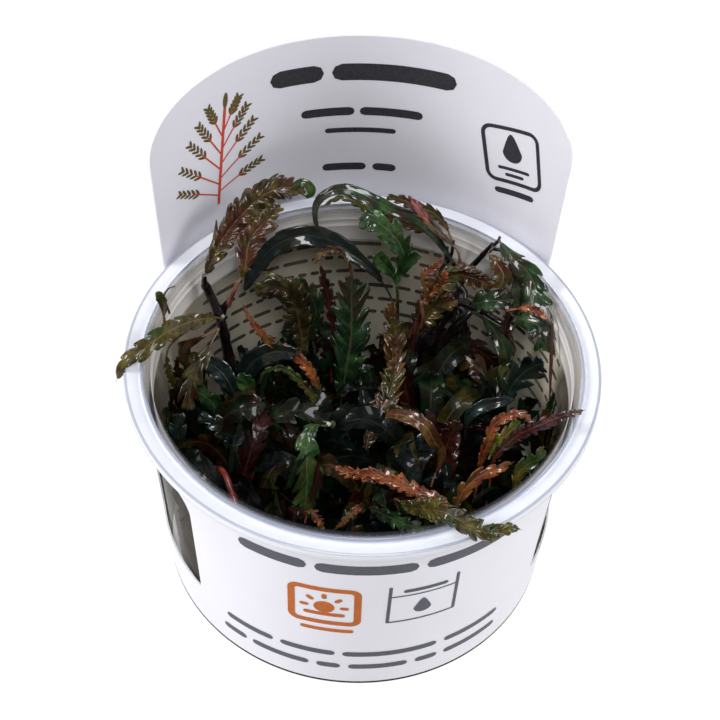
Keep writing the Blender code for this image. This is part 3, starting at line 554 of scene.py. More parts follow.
def object_place(tree, stretch=(1.0, 1.0, 1.0)):
    """Object coordinates, stretched along each axis."""
    coordinates = node(tree, "ShaderNodeTexCoord").outputs["Object"]
    return node(tree, "ShaderNodeMapping", {"Vector": coordinates, "Scale": stretch}).outputs["Vector"]


def parts(tree, vector):
    """A vector's parts, under X, Y and Z."""
    return node(tree, "ShaderNodeSeparateXYZ", {"Vector": vector}).outputs


def from_axis(tree, coordinates):
    """The way from the cup's axis straight out to each spot."""
    inputs = {0: coordinates, 1: (1.0, 1.0, 0.0)}
    return node(tree, "ShaderNodeVectorMath", inputs, operation="MULTIPLY").outputs["Vector"]


def noise(tree, vector, scale, detail=3.0, roughness=0.55, distortion=0.0):
    inputs = {"Vector": vector, "Scale": scale, "Detail": detail, "Roughness": roughness}
    inputs["Distortion"] = distortion
    return node(tree, "ShaderNodeTexNoise", inputs).outputs["Fac"]


def ramp(tree, factor, stops):
    """A colour ramp through (position, colour) stops."""
    made = node(tree, "ShaderNodeValToRGB", {"Fac": factor})
    elements = made.color_ramp.elements
    while len(elements) < len(stops):
        elements.new(0.5)
    for element, (position, colour) in zip(elements, stops):
        element.position = position
        element.color = (*colour, 1.0)
    return made.outputs["Color"]


def spread(tree, value, low, high, to_low=0.0, to_high=1.0):
    """A value mapped from one range to another, held inside it."""
    inputs = {"Value": value, "From Min": low, "From Max": high, "To Min": to_low, "To Max": to_high}
    return node(tree, "ShaderNodeMapRange", inputs).outputs["Result"]


def spread_mm(tree, value, low, high, to_low=0.0, to_high=1.0):
    """The same for a length whose range is given in millimetres."""
    return spread(tree, value, low * MM, high * MM, to_low, to_high)


def calculated(tree, operation, first, second=0.0):
    made = node(tree, "ShaderNodeMath", {0: first, 1: second}, operation=operation)
    return made.outputs["Value"]


MIX_FACTOR, MIX_FIRST, MIX_SECOND = 0, 6, 7
MIX_RESULT = 2


def rgba(colour):
    """A colour as a socket takes it, or the socket that it comes from."""
    return colour if isinstance(colour, bpy.types.NodeSocket) else (*colour, 1.0)


def mixed(tree, factor, first, second, blend="MIX"):
    """Two colours mixed."""
    inputs = {MIX_FACTOR: factor, MIX_FIRST: rgba(first), MIX_SECOND: rgba(second)}
    made = node(tree, "ShaderNodeMix", inputs, data_type="RGBA", blend_type=blend)
    return made.outputs[MIX_RESULT]


def mixed_value(tree, factor, first, second):
    """A number that goes from the first to the second as the factor goes from 0 to 1."""
    rise = calculated(tree, "SUBTRACT", second, first)
    return calculated(tree, "ADD", calculated(tree, "MULTIPLY", rise, factor), first)


def bump(tree, height, distance, strength=1.0):
    inputs = {"Height": height, "Distance": distance, "Strength": strength}
    return node(tree, "ShaderNodeBump", inputs).outputs["Normal"]


def cup_outer(z):
    """The outer radius of the cup's wall at height z."""
    return CUP_BASE_RADIUS + WALL_SLOPE * z


def cup_inner(z):
    """The inner radius of the cup's wall at height z."""
    return cup_outer(z) - CUP_WALL


def flare_share(angle):
    """1 behind the panel, 0 in front, eased between the two flare angles."""
    span = FLARE_END_ANGLE - FLARE_FULL_ANGLE
    share = min(max((abs(angle) - FLARE_FULL_ANGLE) / span, 0.0), 1.0)
    return 1.0 - share * share * (3.0 - 2.0 * share)


def sleeve_radius(angle, z):
    """The sleeve's inner radius."""
    slope = SLEEVE_SLOPE + PANEL_FLARE * flare_share(angle)
    below, above = min(z, PANEL_BEND_HEIGHT), max(z - PANEL_BEND_HEIGHT, 0.0)
    return SLEEVE_BASE_RADIUS + slope * below + PANEL_LEAN * above


def round_cup(angle, radius, z):
    """The point at this angle and radius, in metres."""
    return Vector((radius * sin(radians(angle)), radius * cos(radians(angle)), z)) * MM


def panel_top(angle):
    """The height of the back panel's rounded outline."""
    across = min(abs(angle) / PANEL_HALF_ANGLE, 1.0) ** PANEL_WIDTH_POWER
    return PANEL_SHOULDER + (PANEL_TOP - PANEL_SHOULDER) * (1.0 - across) ** (1.0 / PANEL_HEIGHT_POWER)


def window_inset(angle, start, end, radius):
    """How far corners of this radius take a window's edge in at this angle."""
    per_degree = radians(1.0) * SLEEVE_BASE_RADIUS
    from_end = min(angle - start, end - angle) * per_degree
    short = radius - min(max(from_end, 0.0), radius)
    return radius - sqrt(radius ** 2 - short ** 2)


def cup_profile():
    """The cup's section in millimetres, from the base's middle out, up, over the rim and down inside."""
    foot, floor_edge, step = cup_outer(0.0), cup_inner(CUP_FLOOR), cup_inner(STEP_HEIGHT)
    flange_under = RIM_TOP - 1.1
    lip_bottom = flange_under - 1.0
    profile = [(12.0, 0.0), (30.0, 0.0), (foot + 0.4, 0.0), (foot + 0.8, 0.12)]
    profile += [(foot + 0.8, 0.72), (foot + 0.1, 0.86)]
    profile += [(cup_outer(z), z) for z in (1.5, 8.0, 16.0, 24.0, 32.0, 40.0, 48.0, 54.0)]
    profile += [(cup_outer(flange_under - 0.5), flange_under - 0.5)]
    profile += [(cup_outer(flange_under) + 0.4, flange_under), (RIM_RADIUS - 1.0, flange_under)]
    edge = [(0.85, lip_bottom), (0.1, lip_bottom), (0.0, lip_bottom + 0.2)]
    edge += [(0.0, RIM_TOP - 0.5), (0.15, RIM_TOP - 0.12), (0.5, RIM_TOP)]
    profile += [(RIM_RADIUS - back, z) for back, z in edge]
    profile += [(49.1, RIM_TOP - 0.22), (48.2, RIM_TOP - 0.46), (47.3, RIM_TOP - 0.7)]
    for i in range(7):
        turn = pi * i / 6
        profile.append((MOUTH_RADIUS + 1.0 + cos(turn), RIM_TOP + 0.05 + 0.62 * sin(turn)))
    profile.append((MOUTH_RADIUS, flange_under))
    for height in reversed(RING_HEIGHTS):
        wall = cup_inner(height)
        profile += [(wall + 0.02, height + 0.35), (wall - RING_DEPTH, height), (wall, height - 0.35)]
    profile += [(step + 0.2, STEP_HEIGHT + 0.3), (step - 0.2, STEP_HEIGHT - 0.7)]
    profile += [(cup_inner(z) - 0.1, z) for z in (40.0, 32.0, 24.0, 16.0, 8.0)]
    profile += [(floor_edge, CUP_FLOOR + 1.5), (floor_edge - 1.5, CUP_FLOOR)]
    return profile + [(30.0, CUP_FLOOR), (12.0, CUP_FLOOR)]


def lathe(name, profile, segments):
    """A closed shell: a disc drawn out ring by ring along the profile and closed again at the axis."""
    deselect_all()
    first_radius, first_height = profile[0]
    bpy.ops.mesh.primitive_circle_add(
        vertices=segments,
        radius=first_radius * MM,
        fill_type="TRIFAN",
        location=(0.0, 0.0, first_height * MM),
    )
    made = bpy.context.object
    made.name = name
    settle(made)
    bpy.ops.object.mode_set(mode="EDIT")
    bpy.ops.mesh.select_mode(type="EDGE")
    bpy.ops.mesh.select_all(action="DESELECT")
    bpy.ops.mesh.select_non_manifold()
    radius, height = profile[0]
    for next_radius, next_height in profile[1:]:
        rise = (0.0, 0.0, (next_height - height) * MM)
        bpy.ops.mesh.extrude_edges_move(TRANSFORM_OT_translate={"value": rise})
        share = next_radius / radius
        bpy.ops.transform.resize(value=(share, share, 1.0), center_override=(0.0, 0.0, 0.0))
        radius, height = next_radius, next_height
    bpy.ops.mesh.extrude_edges_move(TRANSFORM_OT_translate={"value": (0.0, 0.0, 0.0)})
    bpy.ops.mesh.merge(type="CENTER")
    bpy.ops.object.mode_set(mode="OBJECT")
    recalculate_normals(made)
    bpy.ops.object.shade_smooth_by_angle(angle=radians(32.0))
    return made


def rim_colours_and_shade(tree, radius, settings):
    """Across the rim, painted shade: grey at the mouth, lavender on the bead and grey at the edge; white on
    the flange.
    """
    white = tuple(settings.flange_colour)
    # Painted shade: the three darker stops on the bead's inner side, and the two grey ones under the
    # flange's edge
    stops = [(0.0, (0.3, 0.32, 0.4)), (0.22, (0.3, 0.33, 0.46)), (0.35, (0.36, 0.4, 0.54)), (0.42, white)]
    stops += [(0.86, white), (0.9, (0.46, 0.48, 0.58)), (0.97, (0.5, 0.52, 0.62)), (1.0, white)]
    return ramp(tree, spread_mm(tree, radius, MOUTH_RADIUS, RIM_RADIUS), stops)


Zones = namedtuple("Zones", "in_rim lip above_step foot film")


def cup_zones(tree, along):
    """How far a spot is in the rim, under its lip, above the step, on the foot or in painted window shade.
    """
    height = along["Z"]
    beside = spread_mm(tree, calculated(tree, "ABSOLUTE", along["X"]), 27.0, 31.0)
    return Zones(
        in_rim=spread_mm(tree, height, RIM_TOP - 2.6, RIM_TOP - 0.9),
        lip=spread_mm(tree, height, RIM_TOP - 0.5, RIM_TOP - 0.25, 1.0, 0.0),
        above_step=spread_mm(tree, height, STEP_HEIGHT + 1.2, STEP_HEIGHT + 2.4),
        foot=spread_mm(tree, height, 0.9, 1.25, 1.0, 0.0),
        # Painted shade in the windows: the wall is darkened on either side towards the front
        film=mixed_value(tree, spread_mm(tree, along["Y"], 4.0, 9.0, 1.0, 0.0), 0.0, beside),
    )


def cup_cover(tree, zones, radius, streaks, settings):
    """How much the plastic hides: little in the wall, more where window shade is painted, nearly all in the
    rim.
    """
    bead = spread_mm(tree, radius, MOUTH_RADIUS + 1.4, MOUTH_RADIUS + 1.8, 0.04, 0.74)
    flange = spread_mm(tree, radius, MOUTH_RADIUS + 1.9, MOUTH_RADIUS + 2.3)
    rim = mixed_value(tree, flange, bead, 0.97)
    wall = mixed_value(tree, zones.film, settings.wall_alpha, spread(tree, streaks, 0.35, 0.65, 0.5, 0.7))
    # Above the step the wall hides more, to carry the painted light there
    wall = mixed_value(tree, zones.above_step, wall, 0.68)
    return mixed_value(tree, zones.foot, mixed_value(tree, zones.in_rim, wall, rim), 0.9)


def wall_tint(tree, zones, streaks, settings):
    """The wall's colour: streaked, painted shade low down and in the windows, painted light above the step,
    dark at the foot.
    """
    # The streaks are the plastic's own; the brown that they vary is painted shade
    shifts = ((0.3, (0.86, 1.0, 0.95)), (0.5, (1.0, 1.0, 1.0)), (0.7, (1.16, 0.96, 1.02)))
    stops = [(at, tuple(c * m for c, m in zip(settings.wall_colour, shift))) for at, shift in shifts]
    # Painted shade: near black brown in the windows
    tint = mixed(tree, zones.film, ramp(tree, streaks, stops), (0.075, 0.064, 0.05))
    # Painted light: near white above the step, where more light falls
    tint = mixed(tree, zones.above_step, tint, (0.9, 0.87, 0.85))
    return mixed(tree, zones.foot, tint, (0.05, 0.038, 0.026))


def cup_material(settings):
    """Clear plastic: its wall tinted with painted shade and painted light, milky in the rim with painted
    shade on it.
    """
    material, tree = new_material("milky_plastic")
    coordinates = object_place(tree)
    zones = cup_zones(tree, parts(tree, coordinates))
    radius = node(tree, "ShaderNodeVectorMath", {0: from_axis(tree, coordinates)}, operation="LENGTH")
    radius = radius.outputs["Value"]
    streaks = noise(tree, object_place(tree, (1.0, 1.0, 0.12)), 70.0, 3.0, 0.6)
    haze = noise(tree, coordinates, 240.0, 4.0)
    scratches = noise(tree, object_place(tree, (1.0, 1.0, 6.0)), 900.0, 2.0)
    cloudy = ramp(tree, haze, [(0.3, (0.95, 0.95, 0.96)), (0.7, (1.0, 1.0, 1.0))])
    rim = mixed(tree, zones.lip, rim_colours_and_shade(tree, radius, settings), tuple(settings.flange_colour))
    rim = mixed(tree, 1.0, rim, cloudy, "MULTIPLY")
    return shaded(material, {
        "Base Color": mixed(tree, zones.in_rim, wall_tint(tree, zones, streaks, settings), rim),
        "Alpha": cup_cover(tree, zones, radius, streaks, settings),
        "Roughness": spread(tree, haze, 0.3, 0.7, 0.1, 0.2),
        "Normal": bump(tree, scratches, 0.00002, 0.4),
        "Specular IOR Level": mixed_value(tree, zones.in_rim, 0.16, 0.5),
        "IOR": mixed_value(tree, zones.in_rim, 1.1, 1.5),
    })


class PLANTCUP_OT_add_cup(bpy.types.Operator):
    """Turns the cup with its inner step, rings, bead and flange"""

    bl_idname = "plantcup.add_cup"
    bl_label = "Cup"

    def execute(self, context):
        settings = context.scene.cup_settings
        cup = lathe("cup_shell", cup_profile(), settings.segments)
        finish(cup, cup_material(settings), "cup_plastic", "cup")
        return {"FINISHED"}


def card_columns(step):
    """Every column's angle once round the card, closer together at the windows' and the panel's corners."""
    corner = degrees(WINDOW_CORNER / SLEEVE_BASE_RADIUS)
    stops = {-180.0, 180.0, -PANEL_HALF_ANGLE, PANEL_HALF_ANGLE}
    fine = [corner * (1.0 - cos(pi / 2 * i / 6)) for i in range(7)]
    for start, end in window_spans():
        stops.update(start + s for s in fine)
        stops.update(end - s for s in fine)
    shoulders = [PANEL_HALF_ANGLE * (1.0 - 0.1 * (i / 10) ** 2.4) for i in range(11)]
    stops.update(shoulders)
    stops.update(-s for s in shoulders)
    ordered = sorted(stops)
    columns = []
    for start, end in zip(ordered, ordered[1:]):
        if end - start < 0.02:
            continue
        count = max(round((end - start) / step), 1)
        columns += [start + (end - start) * i / count for i in range(count)]
    return columns + [180.0]


def window_spans():
    return (
        (-WINDOW_LEFT_FRONT_ANGLE, -WINDOW_BACK_ANGLE),
        (WINDOW_BACK_ANGLE, WINDOW_RIGHT_FRONT_ANGLE),
    )


def card_heights(angle):
    """The heights of a column's rows: below, beside and above the windows, then up the panel."""
    upper, lower = WINDOW_CORNER, WINDOW_LOWER_CORNER
    for start, end in window_spans():
        if start <= angle <= end:
            upper = window_inset(angle, start, end, WINDOW_CORNER)
            lower = window_inset(angle, start, end, WINDOW_LOWER_CORNER)
    marks = [SLEEVE_BOTTOM, WINDOW_BOTTOM + lower, WINDOW_TOP - upper, SLEEVE_TOP, PANEL_BEND_HEIGHT]
    marks.append(panel_top(angle))
    heights = [SLEEVE_BOTTOM]
    for low, high, rows in zip(marks, marks[1:], CARD_ROWS):
        heights += [low + (high - low) * i / rows for i in range(1, rows + 1)]
    return heights


def in_window(angle):
    return any(start < angle < end for start, end in window_spans())


def make_card(settings):
    """The sleeve from a flat sheet: cut out, rolled round the cup, joined and given its thickness."""
    columns = card_columns(settings.column_angle)
    last_column, last_row = len(columns) - 1, sum(CARD_ROWS)
    card = flat_grid("printed_card", last_column, last_row)
    numbers = {}
    for vertex in card.data.vertices:
        column = round((vertex.co.x + 1.0) / 2.0 * last_column)
        numbers[vertex.index] = (column, round((vertex.co.y + 1.0) / 2.0 * last_row))
    bpy.ops.object.mode_set(mode="EDIT")

    def cut_out(face):
        places = [numbers[vertex.index] for vertex in face.verts]
        angle = sum(columns[column] for column, _ in places) / 4
        row = min(row for _, row in places)
        beside_panel = row >= PANEL_FIRST_ROW and abs(angle) > PANEL_HALF_ANGLE
        return beside_panel or (WINDOW_FIRST_ROW <= row <= WINDOW_LAST_ROW and in_window(angle))

    select_faces(cut_out)
    mesh = bmesh.from_edit_mesh(card.data)
    for vertex in mesh.verts:
        column, row = numbers[vertex.index]
        angle = columns[column]
        z = card_heights(angle)[row]
        vertex.co = round_cup(angle, sleeve_radius(angle, z), z)
    bmesh.update_edit_mesh(card.data)
    bpy.ops.mesh.delete(type="FACE")
    bpy.ops.object.mode_set(mode="OBJECT")
    recalculate_normals(card)
    middle = card.data.polygons[len(card.data.polygons) // 3]
    outward = middle.normal.dot(Vector((middle.center.x, middle.center.y, 0.0)))
    thicken(card, SLEEVE_THICKNESS * MM, 1.0 if outward > 0.0 else -1.0, True)
    bpy.ops.object.shade_smooth_by_angle(angle=radians(30.0))
    return card


def card_material(settings):
    """Coated card: faint fibres, a slight cloudiness and a soft shine, and beige inside the sleeve."""
    material, tree = new_material("coated_card")
    coordinates = object_place(tree)
    fibres = noise(tree, object_place(tree, (1.0, 1.0, 0.35)), 1900.0, 3.0, 0.7)
    white = tuple(settings.card_colour)
    clouds = noise(tree, coordinates, 55.0, 4.0)
    outside = ramp(tree, clouds, [(0.3, tuple(c * 0.965 for c in white)), (0.7, white)])
    surface = node(tree, "ShaderNodeNewGeometry").outputs["True Normal"]
    inputs = {0: surface, 1: from_axis(tree, coordinates)}
    outward = node(tree, "ShaderNodeVectorMath", inputs, operation="DOT_PRODUCT").outputs["Value"]
    below = spread_mm(tree, parts(tree, coordinates)["Z"], 53.0, 55.0, 1.0, 0.0)
    inner = calculated(tree, "MULTIPLY", spread(tree, outward, -0.03, 0.0, 1.0, 0.0), below)
    return shaded(material, {
        "Base Color": mixed(tree, inner, outside, (0.97, 0.92, 0.74)),
        "Roughness": spread(tree, fibres, 0.3, 0.7, 0.34, 0.46),
        "Normal": bump(tree, fibres, 0.00002, 0.35),
        "Specular IOR Level": 0.4,
    })


class PLANTCUP_OT_add_card(bpy.types.Operator):
    """Rolls the printed card round the cup, with its two windows and its tall panel"""

    bl_idname = "plantcup.add_card"
    bl_label = "Card sleeve"

    def execute(self, context):
        settings = context.scene.card_settings
        card = make_card(settings)
        finish(card, card_material(settings), "card", "card_sleeve")
        return {"FINISHED"}


def ink_material(name, colour):
    """Printed ink: slightly uneven and a little shinier than the card."""
    material, tree = new_material(name)
    grain = noise(tree, object_place(tree), 1500.0, 2.0)
    light = tuple(min(c * 1.25 + 0.004, 1.0) for c in colour)
    return shaded(material, {
        "Base Color": ramp(tree, grain, [(0.35, tuple(colour)), (0.7, light)]),
        "Roughness": spread(tree, grain, 0.3, 0.7, 0.34, 0.46),
        "Specular IOR Level": 0.15,
    })


def wrapped(angle):
    """The same direction as an angle from -180 to 180."""
    return (angle + 180.0) % 360.0 - 180.0


def wrap_print(obj, inside, angle, height):
    """Wraps a flat shape, drawn in millimetres round its middle, onto the card at this angle and height."""
    lift = -INK_LIFT if inside else SLEEVE_THICKNESS + INK_LIFT
    for vertex in obj.data.vertices:
        x, z = vertex.co.x, height + vertex.co.y
        turn = degrees(x / sleeve_radius(angle, z))
        there = wrapped(angle + turn if inside else angle - turn)
        vertex.co = round_cup(there, sleeve_radius(there, z) + lift, z)
    thicken(obj, INK_THICKNESS * MM)


def bar(width, height, at=(0.0, 0.0), turn=0.0):
    """A flat bar with round ends, in millimetres."""
    made = flat_grid("bar", max(ceil(width / 1.2), 3), 4)
    half, radius = width / 2, min(width, height) / 2
    for vertex in made.data.vertices:
        rise = sin(vertex.co.y * pi / 2)
        y = rise * height / 2
        x = vertex.co.x * (half - radius + radius * sqrt(max(1.0 - rise * rise, 0.0)))
        vertex.co = (at[0] + x * cos(turn) - y * sin(turn), at[1] + x * sin(turn) + y * cos(turn), 0.0)
    return made


def frame_outline(width, height, corner, line):
    """A flat rectangular frame with round corners: a plane bevelled at its corners, inset and emptied."""
    deselect_all()
    bpy.ops.mesh.primitive_plane_add(size=1.0)
    made = bpy.context.object
    made.scale = (width, height, 1.0)
    settle(made)
    bpy.ops.object.mode_set(mode="EDIT")
    bpy.ops.mesh.select_all(action="SELECT")
    bpy.ops.mesh.bevel(offset=corner, segments=6, affect="VERTICES")
    bpy.ops.mesh.inset(thickness=line)
    bpy.ops.mesh.delete(type="FACE")
    bpy.ops.mesh.select_all(action="SELECT")
    bpy.ops.mesh.subdivide(number_cuts=3)
    bpy.ops.object.mode_set(mode="OBJECT")
    return made


def disc(radius, at=(0.0, 0.0), stretch=1.0, turn=0.0, sides=24):
    """A flat disc or oval in millimetres."""
    deselect_all()
    bpy.ops.mesh.primitive_circle_add(vertices=sides, radius=radius, fill_type="TRIFAN")
    made = bpy.context.object
    for vertex in made.data.vertices:
        x, y = vertex.co.x * stretch, vertex.co.y
        vertex.co = (at[0] + x * cos(turn) - y * sin(turn), at[1] + x * sin(turn) + y * cos(turn), 0.0)
    return made


def drop_shape(radius, at):
    """A flat drop: a disc whose upper half is drawn up to a point."""
    made = disc(radius, sides=32)
    for vertex in made.data.vertices:
        if vertex.co.y > 0.0:
            share = vertex.co.y / radius
            vertex.co.x *= 1.0 - 0.35 * share
            vertex.co.y *= 1.0 + 0.9 * share
        vertex.co.x += at[0]
        vertex.co.y += at[1]
    return made


# The rows of the print, each as its middle's height, a dash's height and the dashes' angles from end to end
PANEL_ROWS = (
    (92.9, 4.4, ((-20.9, -7.9), (-6.0, 23.6))),
    (82.3, 2.2, ((-13.5, -0.4), (0.8, 16.2))),
    (77.1, 1.3, ((-7.6, 9.9),)),
    (66.7, 2.0, ((-8.2, 2.9), (4.5, 10.5))),
)
FRONT_ROWS = (
    (48.3, 3.3, ((214.8, 196.2), (194.2, 168.0), (166.0, 141.2))),
    (13.4, 1.9, ((221.7, 206.3), (204.2, 188.4), (186.4, 159.5), (157.2, 138.7))),
    (7.9, 1.9, ((223.3, 215.2), (213.2, 195.8), (193.7, 186.8), (184.6, 167.7), (165.5, 158.8),
                (156.7, 138.6))),
)
INNER_TEXT_ROWS = ((48.4, 1.5), *((height, 1.05) for height in (44.2, 40.1, 36.0, 31.9, 27.8, 23.7)))
INNER_TEXT_START, INNER_TEXT_END = -48.0, 72.0


def make_row(row, inside):
    """One row of dashes, wrapped onto the card."""
    height, thickness, spans = row
    pieces = []
    for start, end in spans:
        middle = (start + end) / 2
        length = radians(abs(end - start)) * sleeve_radius(wrapped(middle), height)
        pieces.append(bar(length, thickness))
        wrap_print(pieces[-1], inside, middle, height)
    return pieces


def icon_pieces(shapes, inside, angle, height, turn=0.0):
    """Flat shapes turned together and wrapped onto the card."""
    spin = Matrix.Rotation(radians(turn), 4, "Z")
    for shape in shapes:
        shape.data.transform(spin)
        wrap_print(shape, inside, angle, height)
    return shapes


def sun_gauge():
    """A generic light icon: a framed half sun over a line, with five rays, and a dash under the frame."""
    shapes = [frame_outline(15.4, 14.9, 2.4, 1.55), bar(8.8, 1.3, (0.0, -3.2)), disc(2.2, (0.0, -0.3))]
    for turn in (0.0, 45.0, 90.0, 135.0, 180.0):
        way = radians(turn)
        shapes.append(bar(2.0, 1.1, (4.2 * cos(way), -0.3 + 4.2 * sin(way)), way))
    shapes.append(bar(11.4, 1.3, (0.6, -9.7)))
    return shapes


def vessel_icon():
    """A generic vessel: an open-topped outline with a dash, a water line and a drop."""
    shapes = [bar(14.6, 0.75, (x, 0.0), pi / 2) for x in (-7.2, 7.2)]
    shapes += [bar(14.9, 0.5, (0.0, -7.1)), bar(14.2, 0.4, (0.0, 3.2)), bar(9.6, 1.2, (0.3, 5.0))]
    return shapes + [drop_shape(1.9, (0.0, -2.6))]


def care_icon():
    """A generic framed icon: a drop over two level lines, with a dash under the frame."""
    shapes = [frame_outline(15.0, 14.8, 2.6, 0.95), drop_shape(2.5, (0.0, 0.8))]
    shapes += [bar(8.4, 0.8, (0.0, -3.5)), bar(5.0, 0.8, (0.0, -5.1)), bar(10.6, 1.5, (-0.4, -9.7))]
    return shapes


# The plain sprig: each branch as its foot's height on the stem, its side, its length and its lean
SPRIG = (
    (-12.0, -1, 12.5, 66.0), (-11.0, 1, 11.5, 60.0), (-9.0, -1, 13.5, 54.0), (-7.5, 1, 12.5, 47.0),
    (-5.0, -1, 13.0, 43.0), (-3.5, 1, 12.0, 37.0), (-1.0, -1, 11.5, 35.0), (0.5, 1, 11.0, 29.0),
    (3.5, -1, 9.5, 27.0), (5.0, 1, 8.5, 22.0),
)


def sprig_stems():
    """The thin stems of a plain sprig, drawn in millimetres round the middle of its picture."""
    stems = [bar(26.0, 0.7, (0.0, -1.5), pi / 2)]
    for foot, side, length, lean in SPRIG:
        way = radians(90.0 - side * lean)
        half = length * 0.32
        stems.append(bar(2 * half + 0.4, 0.36, (half * cos(way), foot + half * sin(way)), way))
    return stems


def sprig_leaves():
    """A feather of small narrow leaves down the outer part of every branch of the sprig."""
    leaves = [disc(0.6, (0.0, 13.0), 3.4, pi / 2, 16)]
    for foot, side, length, lean in SPRIG:
        stem = radians(90.0 - side * lean)
        for step in range(5):
            far = length * (0.5 + 0.12 * step)
            for swing in (-34.0, 34.0):
                way = stem + radians(swing)
                reach = 1.0 - 0.1 * step
                middle = (far * cos(stem) + reach * cos(way), foot + far * sin(stem) + reach * sin(way))
                leaves.append(disc(0.34, middle, 3.2, way, 10))
    return leaves


class PLANTCUP_OT_add_print(bpy.types.Operator):
    """Prints plain dashes and generic icons on the card"""

    bl_idname = "plantcup.add_print"
    bl_label = "Print"

    def execute(self, context):
        settings = context.scene.card_settings
        dark = ink_material("dark_ink", settings.ink_colour)
        grey = ink_material("grey_ink", (0.075, 0.08, 0.1))
        orange = ink_material("orange_ink", settings.accent_colour)
        red = ink_material("red_ink", (0.55, 0.07, 0.04))
        leaf = ink_material("leaf_ink", (0.12, 0.085, 0.03))
        faint = ink_material("inner_ink", (0.022, 0.022, 0.022))
        panel = [piece for row in PANEL_ROWS for piece in make_row(row, True)]
        panel += icon_pieces(care_icon(), True, 40.2, 79.9, 14.5)
        front = [piece for row in FRONT_ROWS for piece in make_row(row, False)]
        groups = {
            "panel_print": (panel, dark),
            "front_print": (front, grey),
            "orange_icon": (icon_pieces(sun_gauge(), False, -168.4, 33.1), orange),
            "vessel_icon": (icon_pieces(vessel_icon(), False, 165.6, 34.0), grey),
            "sprig_stems": (icon_pieces(sprig_stems(), True, -34.5, 79.2, -8.0), red),
            "sprig_leaves": (icon_pieces(sprig_leaves(), True, -34.5, 79.2, -8.0), leaf),
            "inner_text": (inner_text(), faint),
        }
        for name, (pieces, material) in groups.items():
            finish(joined(pieces, name), material, "card")
        return {"FINISHED"}


def inner_text():
    """Rows of small dashes on the inside of the card, seen through the cup's clear wall."""
    rng = random.Random(11)
    pieces = []
    for height, thickness in INNER_TEXT_ROWS:
        angle = INNER_TEXT_START + rng.uniform(0.0, 3.0)
        radius = sleeve_radius(0.0, height)
        while angle < INNER_TEXT_END:
            length = rng.choice((2.2, 3.4, 4.6, 6.2, 7.6))
            piece = bar(length, thickness)
            wrap_print(piece, True, angle + degrees(length / 2 / radius), height)
            pieces.append(piece)
            angle += degrees((length + 0.9) / radius)
    return pieces


def gel_material():
    """Wet gel with clouds in it, painted nearly black: painted shade under the mass of leaves."""
    material, tree = new_material("dark_wet_gel")
    clouds = noise(tree, object_place(tree), 90.0, 5.0)
    return shaded(material, {
        "Base Color": ramp(tree, clouds, [(0.3, (0.012, 0.011, 0.007)), (0.7, (0.045, 0.038, 0.022))]),
        "Roughness": spread(tree, clouds, 0.3, 0.7, 0.08, 0.22),
        "Normal": bump(tree, clouds, 0.0004, 0.5),
        "Coat Weight": 0.4,
    })


class PLANTCUP_OT_add_gel(bpy.types.Operator):
    """Turns the disc of growing gel, drawn up a little at the wall"""

    bl_idname = "plantcup.add_gel"
    bl_label = "Growing gel"

    def execute(self, context):
        profile = [(8.0, GEL_BOTTOM), (GEL_RADIUS - 1.6, GEL_BOTTOM), (GEL_RADIUS, GEL_BOTTOM + 1.6)]
        profile += [(GEL_RADIUS, GEL_TOP + 0.2), (GEL_RADIUS - 0.3, GEL_TOP + 0.1)]
        profile += [(GEL_RADIUS - 1.2, GEL_TOP - 0.1), (30.0, GEL_TOP - 0.15), (16.0, GEL_TOP - 0.1)]
        gel = lathe("gel_disc", profile + [(8.0, GEL_TOP)], 96)
        finish(gel, gel_material(), "gel", "growth_gel")
        return {"FINISHED"}


def curve_point(route, t):
    """A point of the smooth curve through the route, at t from 0 to 1."""
    position = t * (len(route) - 1)
    i = min(int(position), len(route) - 2)
    u = position - i
    p1, p2 = Vector(route[i]), Vector(route[i + 1])
    p0 = Vector(route[i - 1]) if i > 0 else p1 * 2 - p2
    p3 = Vector(route[i + 2]) if i + 2 < len(route) else p2 * 2 - p1
    return 0.5 * (2 * p1 + (p2 - p0) * u + (2 * p0 - 5 * p1 + 4 * p2 - p3) * u * u
                  + (3 * p1 - p0 - 3 * p2 + p3) * u ** 3)


def evenly_spaced(route, count):
    """As many points at even steps along the smooth curve through the route, and its length."""
    fine = [curve_point(route, i / CURVE_STEPS) for i in range(CURVE_STEPS + 1)]
    along = [0.0]
    for a, b in zip(fine, fine[1:]):
        along.append(along[-1] + (b - a).length)
    points = []
    j = 0
    for i in range(count):
        target = along[-1] * i / (count - 1)
        while j < CURVE_STEPS - 1 and along[j + 1] < target:
            j += 1
        share = (target - along[j]) / max(along[j + 1] - along[j], 1e-9)
        points.append(fine[j].lerp(fine[j + 1], min(share, 1.0)))
    return points, along[-1]


